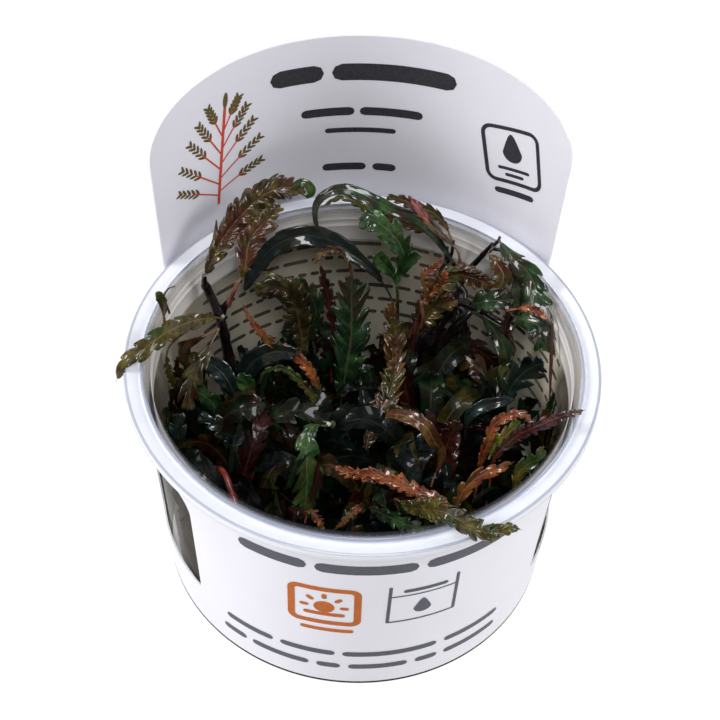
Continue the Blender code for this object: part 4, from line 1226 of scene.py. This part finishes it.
class Midrib:
    """A smooth route with evenly spaced stations, each with its direction, side and face."""

    def __init__(self, route, stalk=0.0, roll=0.0, count=60, sway=0.0, phase=0.0):
        self.points, self.length = evenly_spaced(route, count)
        self.count = count
        self.sway, self.phase = radians(sway), phase
        nexts = self.points[1:] + self.points[-1:]
        befores = self.points[:1] + self.points[:-1]
        self.ways = [(after - before).normalized() for before, after in zip(befores, nexts)]
        middle = round(count * (1.0 + stalk) / 2)
        start = self.ways[middle].cross(LIGHT)
        start.rotate(Matrix.Rotation(radians(roll), 3, self.ways[middle]))
        after = carried(self.ways[middle:], start)
        before = carried(self.ways[middle::-1], start)
        self.sides = before[:0:-1] + after
        self.faces = [side.cross(way) for side, way in zip(self.sides, self.ways)]

    def at(self, t):
        """The point, direction, side and face at t, run on straight past the tip."""
        place_on = min(max(t, 0.0), 1.0) * (self.count - 1)
        i = min(int(place_on), self.count - 2)
        u = place_on - i
        point = self.points[i].lerp(self.points[i + 1], u)
        vectors = (self.ways, self.sides, self.faces)
        way, side, face = (v[i].lerp(v[i + 1], u).normalized() for v in vectors)
        if t > 1.0:
            point = point + way * (t - 1.0) * self.length
        turn = self.sway * sin(8.0 * t + self.phase)
        return point, way, side * cos(turn) + face * sin(turn), face * cos(turn) - side * sin(turn)

    def laid(self, t, across, lift):
        """The point, in metres, this far along, out to the side and off the face."""
        point, _, side, face = self.at(t)
        return (point + side * across + face * lift) * MM


def carried(ways, start):
    """Side vectors square to the route, carried along it without twisting."""
    side = (start - ways[0] * start.dot(ways[0])).normalized()
    sides = [side]
    for before, after in zip(ways, ways[1:]):
        side = before.rotation_difference(after) @ side
        side = (side - after * side.dot(after)).normalized()
        sides.append(side)
    return sides


def leaf_material(name, shades, wetness=0.75):
    """A wet leaf: mottled and patched, with a paler midrib and a coat of water."""
    dark, middle, light, rib, patch = shades
    material, tree = new_material(name)
    coordinates = object_place(tree)
    across = parts(tree, node(tree, "ShaderNodeUVMap", uv_map="UVMap").outputs["UV"])["X"]
    from_rib = calculated(tree, "ABSOLUTE", calculated(tree, "SUBTRACT", across, 0.5))
    on_rib = spread(tree, from_rib, 0.015, 0.05, 0.65, 0.0)
    blotches = noise(tree, coordinates, 260.0, 4.0, 0.6, 0.4)
    patches = noise(tree, coordinates, 110.0, 2.0, 0.5, 0.8)
    specks = noise(tree, coordinates, 1100.0, 3.0, 0.7)
    cells = node(tree, "ShaderNodeTexVoronoi", {"Vector": coordinates, "Scale": 1300.0}).outputs["Distance"]
    blade = ramp(tree, blotches, [(0.32, dark), (0.5, middle), (0.66, light)])
    blade = mixed(tree, spread(tree, patches, 0.5, 0.6, 0.0, 0.85), blade, patch)
    blade = mixed(tree, spread(tree, specks, 0.45, 0.7, 0.0, 0.5), blade, dark)
    height = calculated(tree, "ADD", cells, calculated(tree, "MULTIPLY", on_rib, 2.0))
    return shaded(material, {
        "Base Color": mixed(tree, on_rib, blade, rib),
        "Roughness": spread(tree, specks, 0.3, 0.7, 0.3, 0.46),
        "Normal": bump(tree, height, 0.00012, 0.25 + 0.5 * wetness),
        "Specular IOR Level": 0.04 + 0.2 * wetness,
        "Coat Weight": wetness,
        "Coat Roughness": 0.035,
    })


def darker(shades, share):
    """The same finish in deep shade."""
    return tuple(tuple(c * share for c in shade) for shade in shades)


def stem_material(name, shades):
    """A wet stem, streaked along its length."""
    material, tree = new_material(name)
    streaks = noise(tree, object_place(tree, (1.0, 1.0, 0.3)), 420.0, 3.0)
    return shaded(material, {
        "Base Color": ramp(tree, streaks, list(zip((0.3, 0.5, 0.72), shades))),
        "Roughness": spread(tree, streaks, 0.3, 0.7, 0.18, 0.34),
        "Normal": bump(tree, streaks, 0.0002, 0.6),
        "Coat Weight": 0.5,
        "Coat Roughness": 0.06,
    })


def blade_blank(columns, rows):
    """A flat sheet that every blade of as many columns and rows is copied from."""
    name = f"blank_{columns}_{rows}"
    return bpy.data.objects.get(name) or flat_grid(name, columns, rows)


def copy_of(blank, name):
    piece = blank.copy()
    piece.data = blank.data.copy()
    piece.name = name
    piece.data.name = name
    bpy.context.scene.collection.objects.link(piece)
    return piece


def envelope(v, fullness=0.6):
    """How wide the blade is at v, as a share of its greatest width."""
    return max(sin(pi * min(max(v, 0.0), 1.0) ** 0.85), 0.0) ** fullness


Lobe = namedtuple("Lobe", "reach angle curl turn phase")


def chance_lobes(count, habit, rng):
    """The lobes down one side of a blade, each a little different from the next."""
    lobes = []
    for _ in range(count):
        curl = habit.curl * rng.choice((1.0, 1.0, 1.0, -0.6)) * rng.uniform(0.5, 1.5)
        angle = radians(habit.angle * rng.uniform(0.78, 1.2))
        turn = radians(habit.turn) * rng.uniform(-1.0, 1.0)
        lobes.append(Lobe(rng.uniform(0.74, 1.16), angle, curl, turn, rng.uniform(0.0, 6.0)))
    return lobes


def lobe_outline(across, breadth):
    """How far out a lobe reaches at this share of the spacing from its middle: 1 at its tip."""
    off = abs(2.0 * across) / breadth
    return sqrt(max(1.0 - off ** 3.0, 0.0))


Blade = namedtuple("Blade", "midrib half stalk habit detail")


def lay_blade(piece, rows, blade, rng):
    """Lays a flat sheet along the midrib as one blade, cut into crumpled lobes that point to its tip."""
    midrib, half, stalk, habit, detail = blade
    count = rows // detail + 1
    sides = {1: chance_lobes(count, habit, rng), -1: chance_lobes(count, habit, rng)}
    for vertex in piece.data.vertices:
        side, share = (1 if vertex.co.x > 0.0 else -1), abs(vertex.co.x)
        row = round((vertex.co.y + 1.0) / 2 * rows)
        step = row + (detail // 4 if side > 0 else 0)
        lobe = sides[side][min(step // detail, count - 1)]
        across = step % detail / detail - 0.5
        outline = lobe_outline(across, habit.breadth)
        v = row / rows
        widest = half * max(envelope(v), 0.3 * (1.0 - v))
        out = share * widest * (habit.wing + (1.0 - habit.wing) * outline * lobe.reach)
        slant = radians(habit.angle) * (1.0 - outline) + lobe.angle * outline
        beyond = max(out - 0.5 * habit.wing * widest, 0.0)
        lift = FOLD * out - lobe.curl * outline * beyond * share / sin(slant)
        lift += across * habit.spacing * sin(lobe.turn) * share * outline
        lift += habit.waves * 0.3 * widest * share * sin(5.0 * share + lobe.phase + 2.0 * pi * across)
        place_on = stalk + (1.0 - stalk) * 0.97 * v + out / tan(slant) / midrib.length
        vertex.co = midrib.laid(place_on, side * out, lift)


def blade_piece(name, blade, rng, columns=10):
    """One blade laid along its midrib, with as many pairs of lobes as its length has room for."""
    reach = (1.0 - blade.stalk) * blade.midrib.length
    rows = blade.detail * max(round(reach / blade.habit.spacing), 3)
    piece = copy_of(blade_blank(columns, rows), name)
    lay_blade(piece, rows, blade, rng)
    return piece


def tube(name, points, radii, sides=8):
    """A round tapered tube through points in millimetres: a curve with a bevel, made a mesh."""
    curve = bpy.data.curves.new(name, "CURVE")
    curve.dimensions = "3D"
    curve.bevel_depth = 1.0
    curve.bevel_resolution = max(sides // 2 - 2, 0)
    curve.use_fill_caps = True
    spline = curve.splines.new("POLY")
    spline.points.add(len(points) - 1)
    for spot, point, radius in zip(spline.points, points, radii):
        spot.co = (*(Vector(point) * MM), 1.0)
        spot.radius = radius * MM
    make_active(linked(name, curve))
    bpy.ops.object.convert(target="MESH")
    return bpy.context.object


def rib_tube(name, midrib, stalk, radius, width):
    """The midrib and the stalk below the blade as one thin tapered tube."""
    count = max(round(midrib.length / 1.3), 8)
    thick = min(radius / MM, 0.1 * width + 0.08)
    points, radii = [], []
    for i in range(count):
        t = i / (count - 1)
        point, _, _, face = midrib.at(t)
        points.append(point - face * 0.08)
        radii.append(thick * (1.15 - 0.95 * t) if t > stalk else thick * (1.6 - 0.4 * t / max(stalk, 0.01)))
    made = tube(name, points, radii)
    layer = made.data.uv_layers.active or made.data.uv_layers.new(name="UVMap")
    layer.name = "UVMap"
    for item in layer.data:
        item.uv = (0.5, 0.0)
    return made


def leaf_blades(name, route, width, stalk, habit, rng):
    """The blade of a leaf, and for a crinkled one a second, narrower fold of it turned the other way."""
    phase = rng.uniform(0.0, 6.0)
    midrib = Midrib(route, stalk, sway=habit.sway, phase=phase)
    blades = [blade_piece(name, Blade(midrib, width / 2, stalk, habit, 8), rng)]
    if habit is HABITS["crinkled"]:
        turned = Midrib(route, stalk, roll=34.0, sway=habit.sway, phase=phase + 2.0)
        blades.append(blade_piece(name, Blade(turned, width * 0.4, stalk, habit, 8), rng))
    return midrib, blades


def add_leaf(name, leaf, settings, material, *nodes):
    """One leaf: its blade with its thickness and its raised midrib, joined and finished."""
    route, width, stalk, tint, habit_name = leaf
    rng = random.Random(name)
    spread_width = width * settings.blade_spread
    midrib, blades = leaf_blades("blade", route, spread_width, stalk, HABITS[habit_name], rng)
    blade = joined(blades, "wet_" + name)
    thicken(blade, settings.blade_thickness)
    rib = rib_tube("rib", midrib, stalk, settings.rib_radius, width)
    finish(smooth_joined([blade, rib], "wet_" + name), material, leaf_slot(tint), *nodes)


def leaf_slot(tint):
    return SLOTS.get(tint, "leaf_" + tint)


def remove_blanks():
    for obj in [o for o in bpy.data.objects if o.name.startswith("blank_")]:
        bpy.data.objects.remove(obj)


class PLANTCUP_OT_add_leaves(bpy.types.Operator):
    """Lays every leaf along its midrib"""

    bl_idname = "plantcup.add_leaves"
    bl_label = "Leaves"

    def execute(self, context):
        settings = context.scene.plant_settings
        materials = {tint: leaf_material("wet_" + tint, shades) for tint, shades in LEAF_SHADES.items()}
        for name, leaf in LEAVES.items():
            add_leaf(name, leaf, settings, materials[leaf[3]], name)
        for number, leaf in enumerate(SIDE_LEAVES):
            add_leaf(f"side_leaf_{number}", leaf, settings, materials[leaf[3]])
        remove_blanks()
        return {"FINISHED"}


class PLANTCUP_OT_add_stems(bpy.types.Operator):
    """Draws the main stems, thicker at each node"""

    bl_idname = "plantcup.add_stems"
    bl_label = "Stems"

    def execute(self, context):
        for name, (route, base_radius, top_radius, tint) in STEMS.items():
            midrib = Midrib(route)
            count = round(midrib.length / 0.8)
            points, radii = [], []
            for i in range(count):
                t = i / (count - 1)
                swelling = 1.0 + 0.22 * exp(-((t * midrib.length % 7.0 - 3.5) / 0.7) ** 2)
                points.append(midrib.at(t)[0])
                radii.append((base_radius + (top_radius - base_radius) * t) * swelling)
            made = tube("wet_" + name, points, radii, 12)
            bpy.ops.object.shade_smooth()
            finish(made, stem_material("wet_stem_" + name, STEM_SHADES[tint]), "stem_" + tint, name)
        return {"FINISHED"}


class PLANTCUP_OT_add_twigs(bpy.types.Operator):
    """Draws the forks and leaf stalks that join the leaves to the stems"""

    bl_idname = "plantcup.add_twigs"
    bl_label = "Forks and stalks"

    def execute(self, context):
        groups = {}
        for number, (route, first, last, tint) in enumerate(TWIGS):
            points = [curve_point(route, i / 8) for i in range(9)]
            radii = [first + (last - first) * i / 8 for i in range(9)]
            groups.setdefault(tint, []).append(tube(f"twig_{number}", points, radii))
        for tint, pieces in groups.items():
            material = stem_material("wet_twig_" + tint, STEM_SHADES[tint])
            slot_name = "stem_black" if tint == "black" else "stem_red"
            finish(smooth_joined(pieces, "twigs_" + tint), material, slot_name)
        return {"FINISHED"}


def small_leaf_route(rng, x, y, z, length, rise):
    """A short arc from the mat: up, out and over."""
    way = rng.uniform(0.0, 2.0 * pi)
    dx, dy = cos(way), sin(way)
    route = []
    for i in range(5):
        t = i / 4
        out = length * (0.25 * t + 0.45 * t * t)
        up = rise * sin(min(t * 1.25, 1.0) * pi / 2) - 0.35 * rise * max(t - 0.6, 0.0) ** 2 * 4.0
        px, py = x + dx * out, y + dy * out
        limit = cup_inner(z + up) - WALL_CLEARANCE
        far = sqrt(px * px + py * py)
        if far > limit:
            px, py = px * limit / far, py * limit / far
        route.append((px, py, z + up))
    return route


def random_spot(rng):
    """A chance spot on the mat."""
    way, far = rng.uniform(0.0, 2.0 * pi), GROWTH_RADIUS * sqrt(rng.random())
    return far * cos(way), far * sin(way)


def finish_groups(groups, prefix, shade, wetness, slot_name=None):
    """Joins each tint's leaves into one smooth piece, in that tint's finish in shade."""
    for tint, pieces in groups.items():
        material = leaf_material(prefix + tint, darker(LEAF_SHADES[tint], shade), wetness)
        finish(smooth_joined(pieces, prefix + tint), material, slot_name or leaf_slot(tint))


class PLANTCUP_OT_add_mat(bpy.types.Operator):
    """Covers the gel with a mat of small old leaves on a dark bed, both painted in deep shade"""

    bl_idname = "plantcup.add_mat"
    bl_label = "Mat of small leaves"

    def execute(self, context):
        settings = context.scene.plant_settings
        rng = random.Random(5)
        bed = make_bed()
        groups = {}
        for i in range(settings.mat_leaves):
            x, y = random_spot(rng)
            length, rise = rng.uniform(5.0, 11.0), rng.uniform(1.5, 6.5)
            route = small_leaf_route(rng, x, y, rng.uniform(13.0, 15.5), length, rise)
            piece = small_blade(f"mat_{i}", route, rng.uniform(1.6, 3.4), rng)
            groups.setdefault(MAT_TINTS[i % len(MAT_TINTS)], []).append(piece)
        # Painted deep shade: the bed and the mat take their tints at 15 and 20 percent of their brightness
        soil = leaf_material("mat_bed", darker(LEAF_SHADES["teal"], 0.15), 0.1)
        finish(bed, soil, "undergrowth_leaves", "undergrowth")
        finish_groups(groups, "mat_", 0.2, 0.12, "undergrowth_leaves")
        remove_blanks()
        return {"FINISHED"}


def make_bed():
    """The lumpy bed under the mat, painted dark as deep shade."""
    profile = [(6.0, MOUND_BOTTOM), (MOUND_RADIUS, MOUND_BOTTOM), (MOUND_RADIUS, 12.6), (36.0, 13.4)]
    profile += [(30.0, 13.8), (24.0, 14.0), (18.0, 14.2), (12.0, 14.3), (6.0, 14.4)]
    bed = lathe("mat_bed", profile, 72)
    for vertex in bed.data.vertices:
        x, y, z = vertex.co / MM
        if z > 12.0:
            vertex.co.z += (0.5 * sin(0.9 * x) * cos(1.1 * y) + 0.3 * sin(2.3 * x + y)) * MM
    return bed


def small_blade(name, route, width, rng):
    """A few-faced lobed leaf on a short route."""
    piece = copy_of(blade_blank(SMALL_COLUMNS, SMALL_ROWS), name)
    midrib = Midrib(route, roll=rng.uniform(-40.0, 40.0), count=9)
    half = width / 2
    for vertex in piece.data.vertices:
        u, v = vertex.co.x, (vertex.co.y + 1.0) / 2
        row = round(v * SMALL_ROWS)
        cut = 0.62 if row % 2 == 0 else 1.0
        across = abs(u) * half * max(envelope(v), 0.12) * cut
        lift = 0.3 * across + 0.25 * half * rng.uniform(-1.0, 1.0) * abs(u)
        point, _, sideways, face = midrib.at(v)
        vertex.co = (point + sideways * (across if u > 0.0 else -across) + face * lift) * MM
    return piece


def filler_top(x, y):
    """How high the short shoots grow here: low at the back, higher in the middle and the front."""
    if y > 14.0:
        return 15.0 if x < 10.0 else 22.0
    if abs(x) > 24.0:
        return 29.0
    return 19.0 if y > 4.0 else 25.0


def wall_route(rng, angle):
    """Up the inside of the wall from the mat, leaning a little to one side."""
    top, lean = rng.uniform(30.0, 47.0), rng.uniform(-9.0, 9.0)
    route = []
    for i in range(5):
        z = 13.0 + (top - 13.0) * i / 4
        around = radians(angle + lean * i / 4)
        out = cup_inner(z) - PRESSED_CLEARANCE
        route.append((out * sin(around), out * cos(around), z))
    return route


class PLANTCUP_OT_add_shoots(bpy.types.Operator):
    """Grows short leafy shoots from the mat between the long leaves"""

    bl_idname = "plantcup.add_shoots"
    bl_label = "Short shoots"

    def execute(self, context):
        settings = context.scene.plant_settings
        rng = random.Random(23)
        groups, pressed = {}, {}
        for i in range(settings.filler_leaves):
            x, y = random_spot(rng)
            rise = filler_top(x, y) * rng.uniform(0.5, 1.0)
            route = small_leaf_route(rng, x, y, 15.0, rise * rng.uniform(0.7, 1.3), rise)
            habit = HABITS[rng.choice(("lobed", "broad", "lobed", "strap"))]
            midrib = Midrib(route, 0.15, rng.uniform(-30.0, 30.0), sway=18.0, phase=rng.uniform(0.0, 6.0))
            blade = Blade(midrib, rng.uniform(2.0, 3.7), 0.15, habit, 4)
            group = groups.setdefault(SHOOT_TINTS[i % len(SHOOT_TINTS)], [])
            group.append(blade_piece("shoot", blade, rng, 4))
            group.append(rib_tube("rib", midrib, 0.15, settings.rib_radius * 0.8, 3.0))
        for i in range(settings.wall_leaves):
            low, high = WALL_LEAF_ANGLES[i % 2]
            angle = rng.uniform(low, high)
            midrib = Midrib(wall_route(rng, angle), 0.0, -angle, sway=6.0, phase=rng.uniform(0.0, 6.0))
            blade = Blade(midrib, rng.uniform(2.2, 3.4), 0.0, HABITS[rng.choice(("broad", "strap"))], 4)
            tint = WALL_TINTS[i // 2 % len(WALL_TINTS)]
            pressed.setdefault(tint, []).append(blade_piece("wall_leaf", blade, rng, 4))
        # Painted shade: the pressed leaves and the short shoots take their tints at half and a third of
        # their brightness
        finish_groups(pressed, "pressed_", 0.5, 0.0)
        finish_groups(groups, "shoots_", 0.34, 0.28)
        remove_blanks()
        return {"FINISHED"}


LIT_SPOT = Vector((0.0, 0.0, 0.04))


def linked(name, data):
    """An object in the scene that holds this data."""
    made = bpy.data.objects.new(name, data)
    bpy.context.scene.collection.objects.link(made)
    return made


def add_softbox(name, position, size, power):
    """A square light turned to the middle of the cup."""
    data = bpy.data.lights.new(name, "AREA")
    data.size = size
    data.energy = power
    lamp = linked(name, data)
    lamp.location = position
    lamp.rotation_euler = (LIT_SPOT - Vector(position)).to_track_quat("-Z", "Y").to_euler()


def add_camera():
    """The camera, turned round the cup's axis, raised and rolled as the picture was taken."""
    elevation, roll, turn = radians(CAMERA_ELEVATION), radians(CAMERA_ROLL), radians(CAMERA_TURN)
    back = Vector((0.0, -cos(elevation), sin(elevation)))
    right = Vector((1.0, 0.0, 0.0))
    up = back.cross(right)
    rolled_right = cos(roll) * right + sin(roll) * up
    rolled_up = cos(roll) * up - sin(roll) * right
    position = Vector(CAMERA_AIM) + back * CAMERA_DISTANCE
    spin = Matrix.Rotation(-turn, 3, "Z")
    columns = [spin @ rolled_right, spin @ rolled_up, spin @ back]
    matrix = Matrix(columns).transposed().to_4x4()
    matrix.translation = spin @ position * MM
    data = bpy.data.cameras.new("camera")
    data.sensor_fit = "HORIZONTAL"
    data.sensor_width = SENSOR_WIDTH
    data.lens = CAMERA_LENS
    data.clip_start = 0.01
    camera = linked("camera", data)
    camera.matrix_world = matrix
    bpy.context.scene.camera = camera


def add_floor(size):
    """A plain white floor far wider than the picture."""
    floor = flat_grid("floor", 8, 8, size)
    material, tree = new_material("white_floor")
    grain = noise(tree, object_place(tree), 12.0, 2.0)
    values = {
        "Base Color": ramp(tree, grain, [(0.3, (0.05, 0.05, 0.05)), (0.7, (0.06, 0.06, 0.06))]),
        "Roughness": 0.9,
        "Emission Color": (1.0, 1.0, 1.0, 1.0),
        "Emission Strength": 0.98,
        "Specular IOR Level": 0.1,
    }
    floor.data.materials.append(shaded(material, values))


class PLANTCUP_OT_add_stage(bpy.types.Operator):
    """Sets the white floor, the softboxes and the camera"""

    bl_idname = "plantcup.add_stage"
    bl_label = "Stage"

    def execute(self, context):
        settings = context.scene.stage_settings
        add_floor(settings.floor_size)
        add_softbox("front_box", (0.0, -0.75, 1.2), 0.4, settings.front_power)
        add_softbox("top_box", (0.0, 0.05, 1.4), 0.5, settings.top_power)
        add_softbox("left_box", (-1.2, -0.05, 0.72), 0.5, settings.left_power)
        add_softbox("right_box", (1.2, -0.05, 0.72), 0.45, settings.right_power)
        world = bpy.data.worlds.new("studio")
        context.scene.world = world
        world.use_nodes = True
        sky = {"Color": (0.92, 0.93, 1.0, 1.0), "Strength": 0.08}
        set_inputs(world.node_tree, world.node_tree.nodes["Background"], sky)
        context.scene.view_settings.view_transform = "Standard"
        add_camera()
        return {"FINISHED"}


OPERATORS = (
    PLANTCUP_OT_add_cup,
    PLANTCUP_OT_add_card,
    PLANTCUP_OT_add_print,
    PLANTCUP_OT_add_gel,
    PLANTCUP_OT_add_mat,
    PLANTCUP_OT_add_shoots,
    PLANTCUP_OT_add_stems,
    PLANTCUP_OT_add_twigs,
    PLANTCUP_OT_add_leaves,
    PLANTCUP_OT_add_stage,
)


class PLANTCUP_PT_panel(bpy.types.Panel):
    """Lists the pieces of the plant cup"""

    bl_idname = "PLANTCUP_PT_panel"
    bl_label = "Plant cup"
    bl_space_type = "VIEW_3D"
    bl_region_type = "UI"
    bl_category = "Plant cup"

    def draw(self, context):
        for group, settings in SETTINGS.items():
            box = self.layout.box()
            for name in settings.__annotations__:
                box.prop(getattr(context.scene, group), name)
        for operator in OPERATORS:
            self.layout.operator(operator.bl_idname)


SETTINGS = {
    "cup_settings": CupSettings,
    "card_settings": CardSettings,
    "plant_settings": PlantSettings,
    "stage_settings": StageSettings,
}
CLASSES = (*SETTINGS.values(), *OPERATORS, PLANTCUP_PT_panel)


def register():
    for item in CLASSES:
        bpy.utils.register_class(item)
    for name, settings in SETTINGS.items():
        setattr(bpy.types.Scene, name, PointerProperty(type=settings))


def unregister():
    for name in SETTINGS:
        delattr(bpy.types.Scene, name)
    for item in reversed(CLASSES):
        bpy.utils.unregister_class(item)


def main():
    register()
    for operator in OPERATORS:
        getattr(bpy.ops.plantcup, operator.bl_idname.split(".")[1])()


if __name__ == "__main__":
    main()
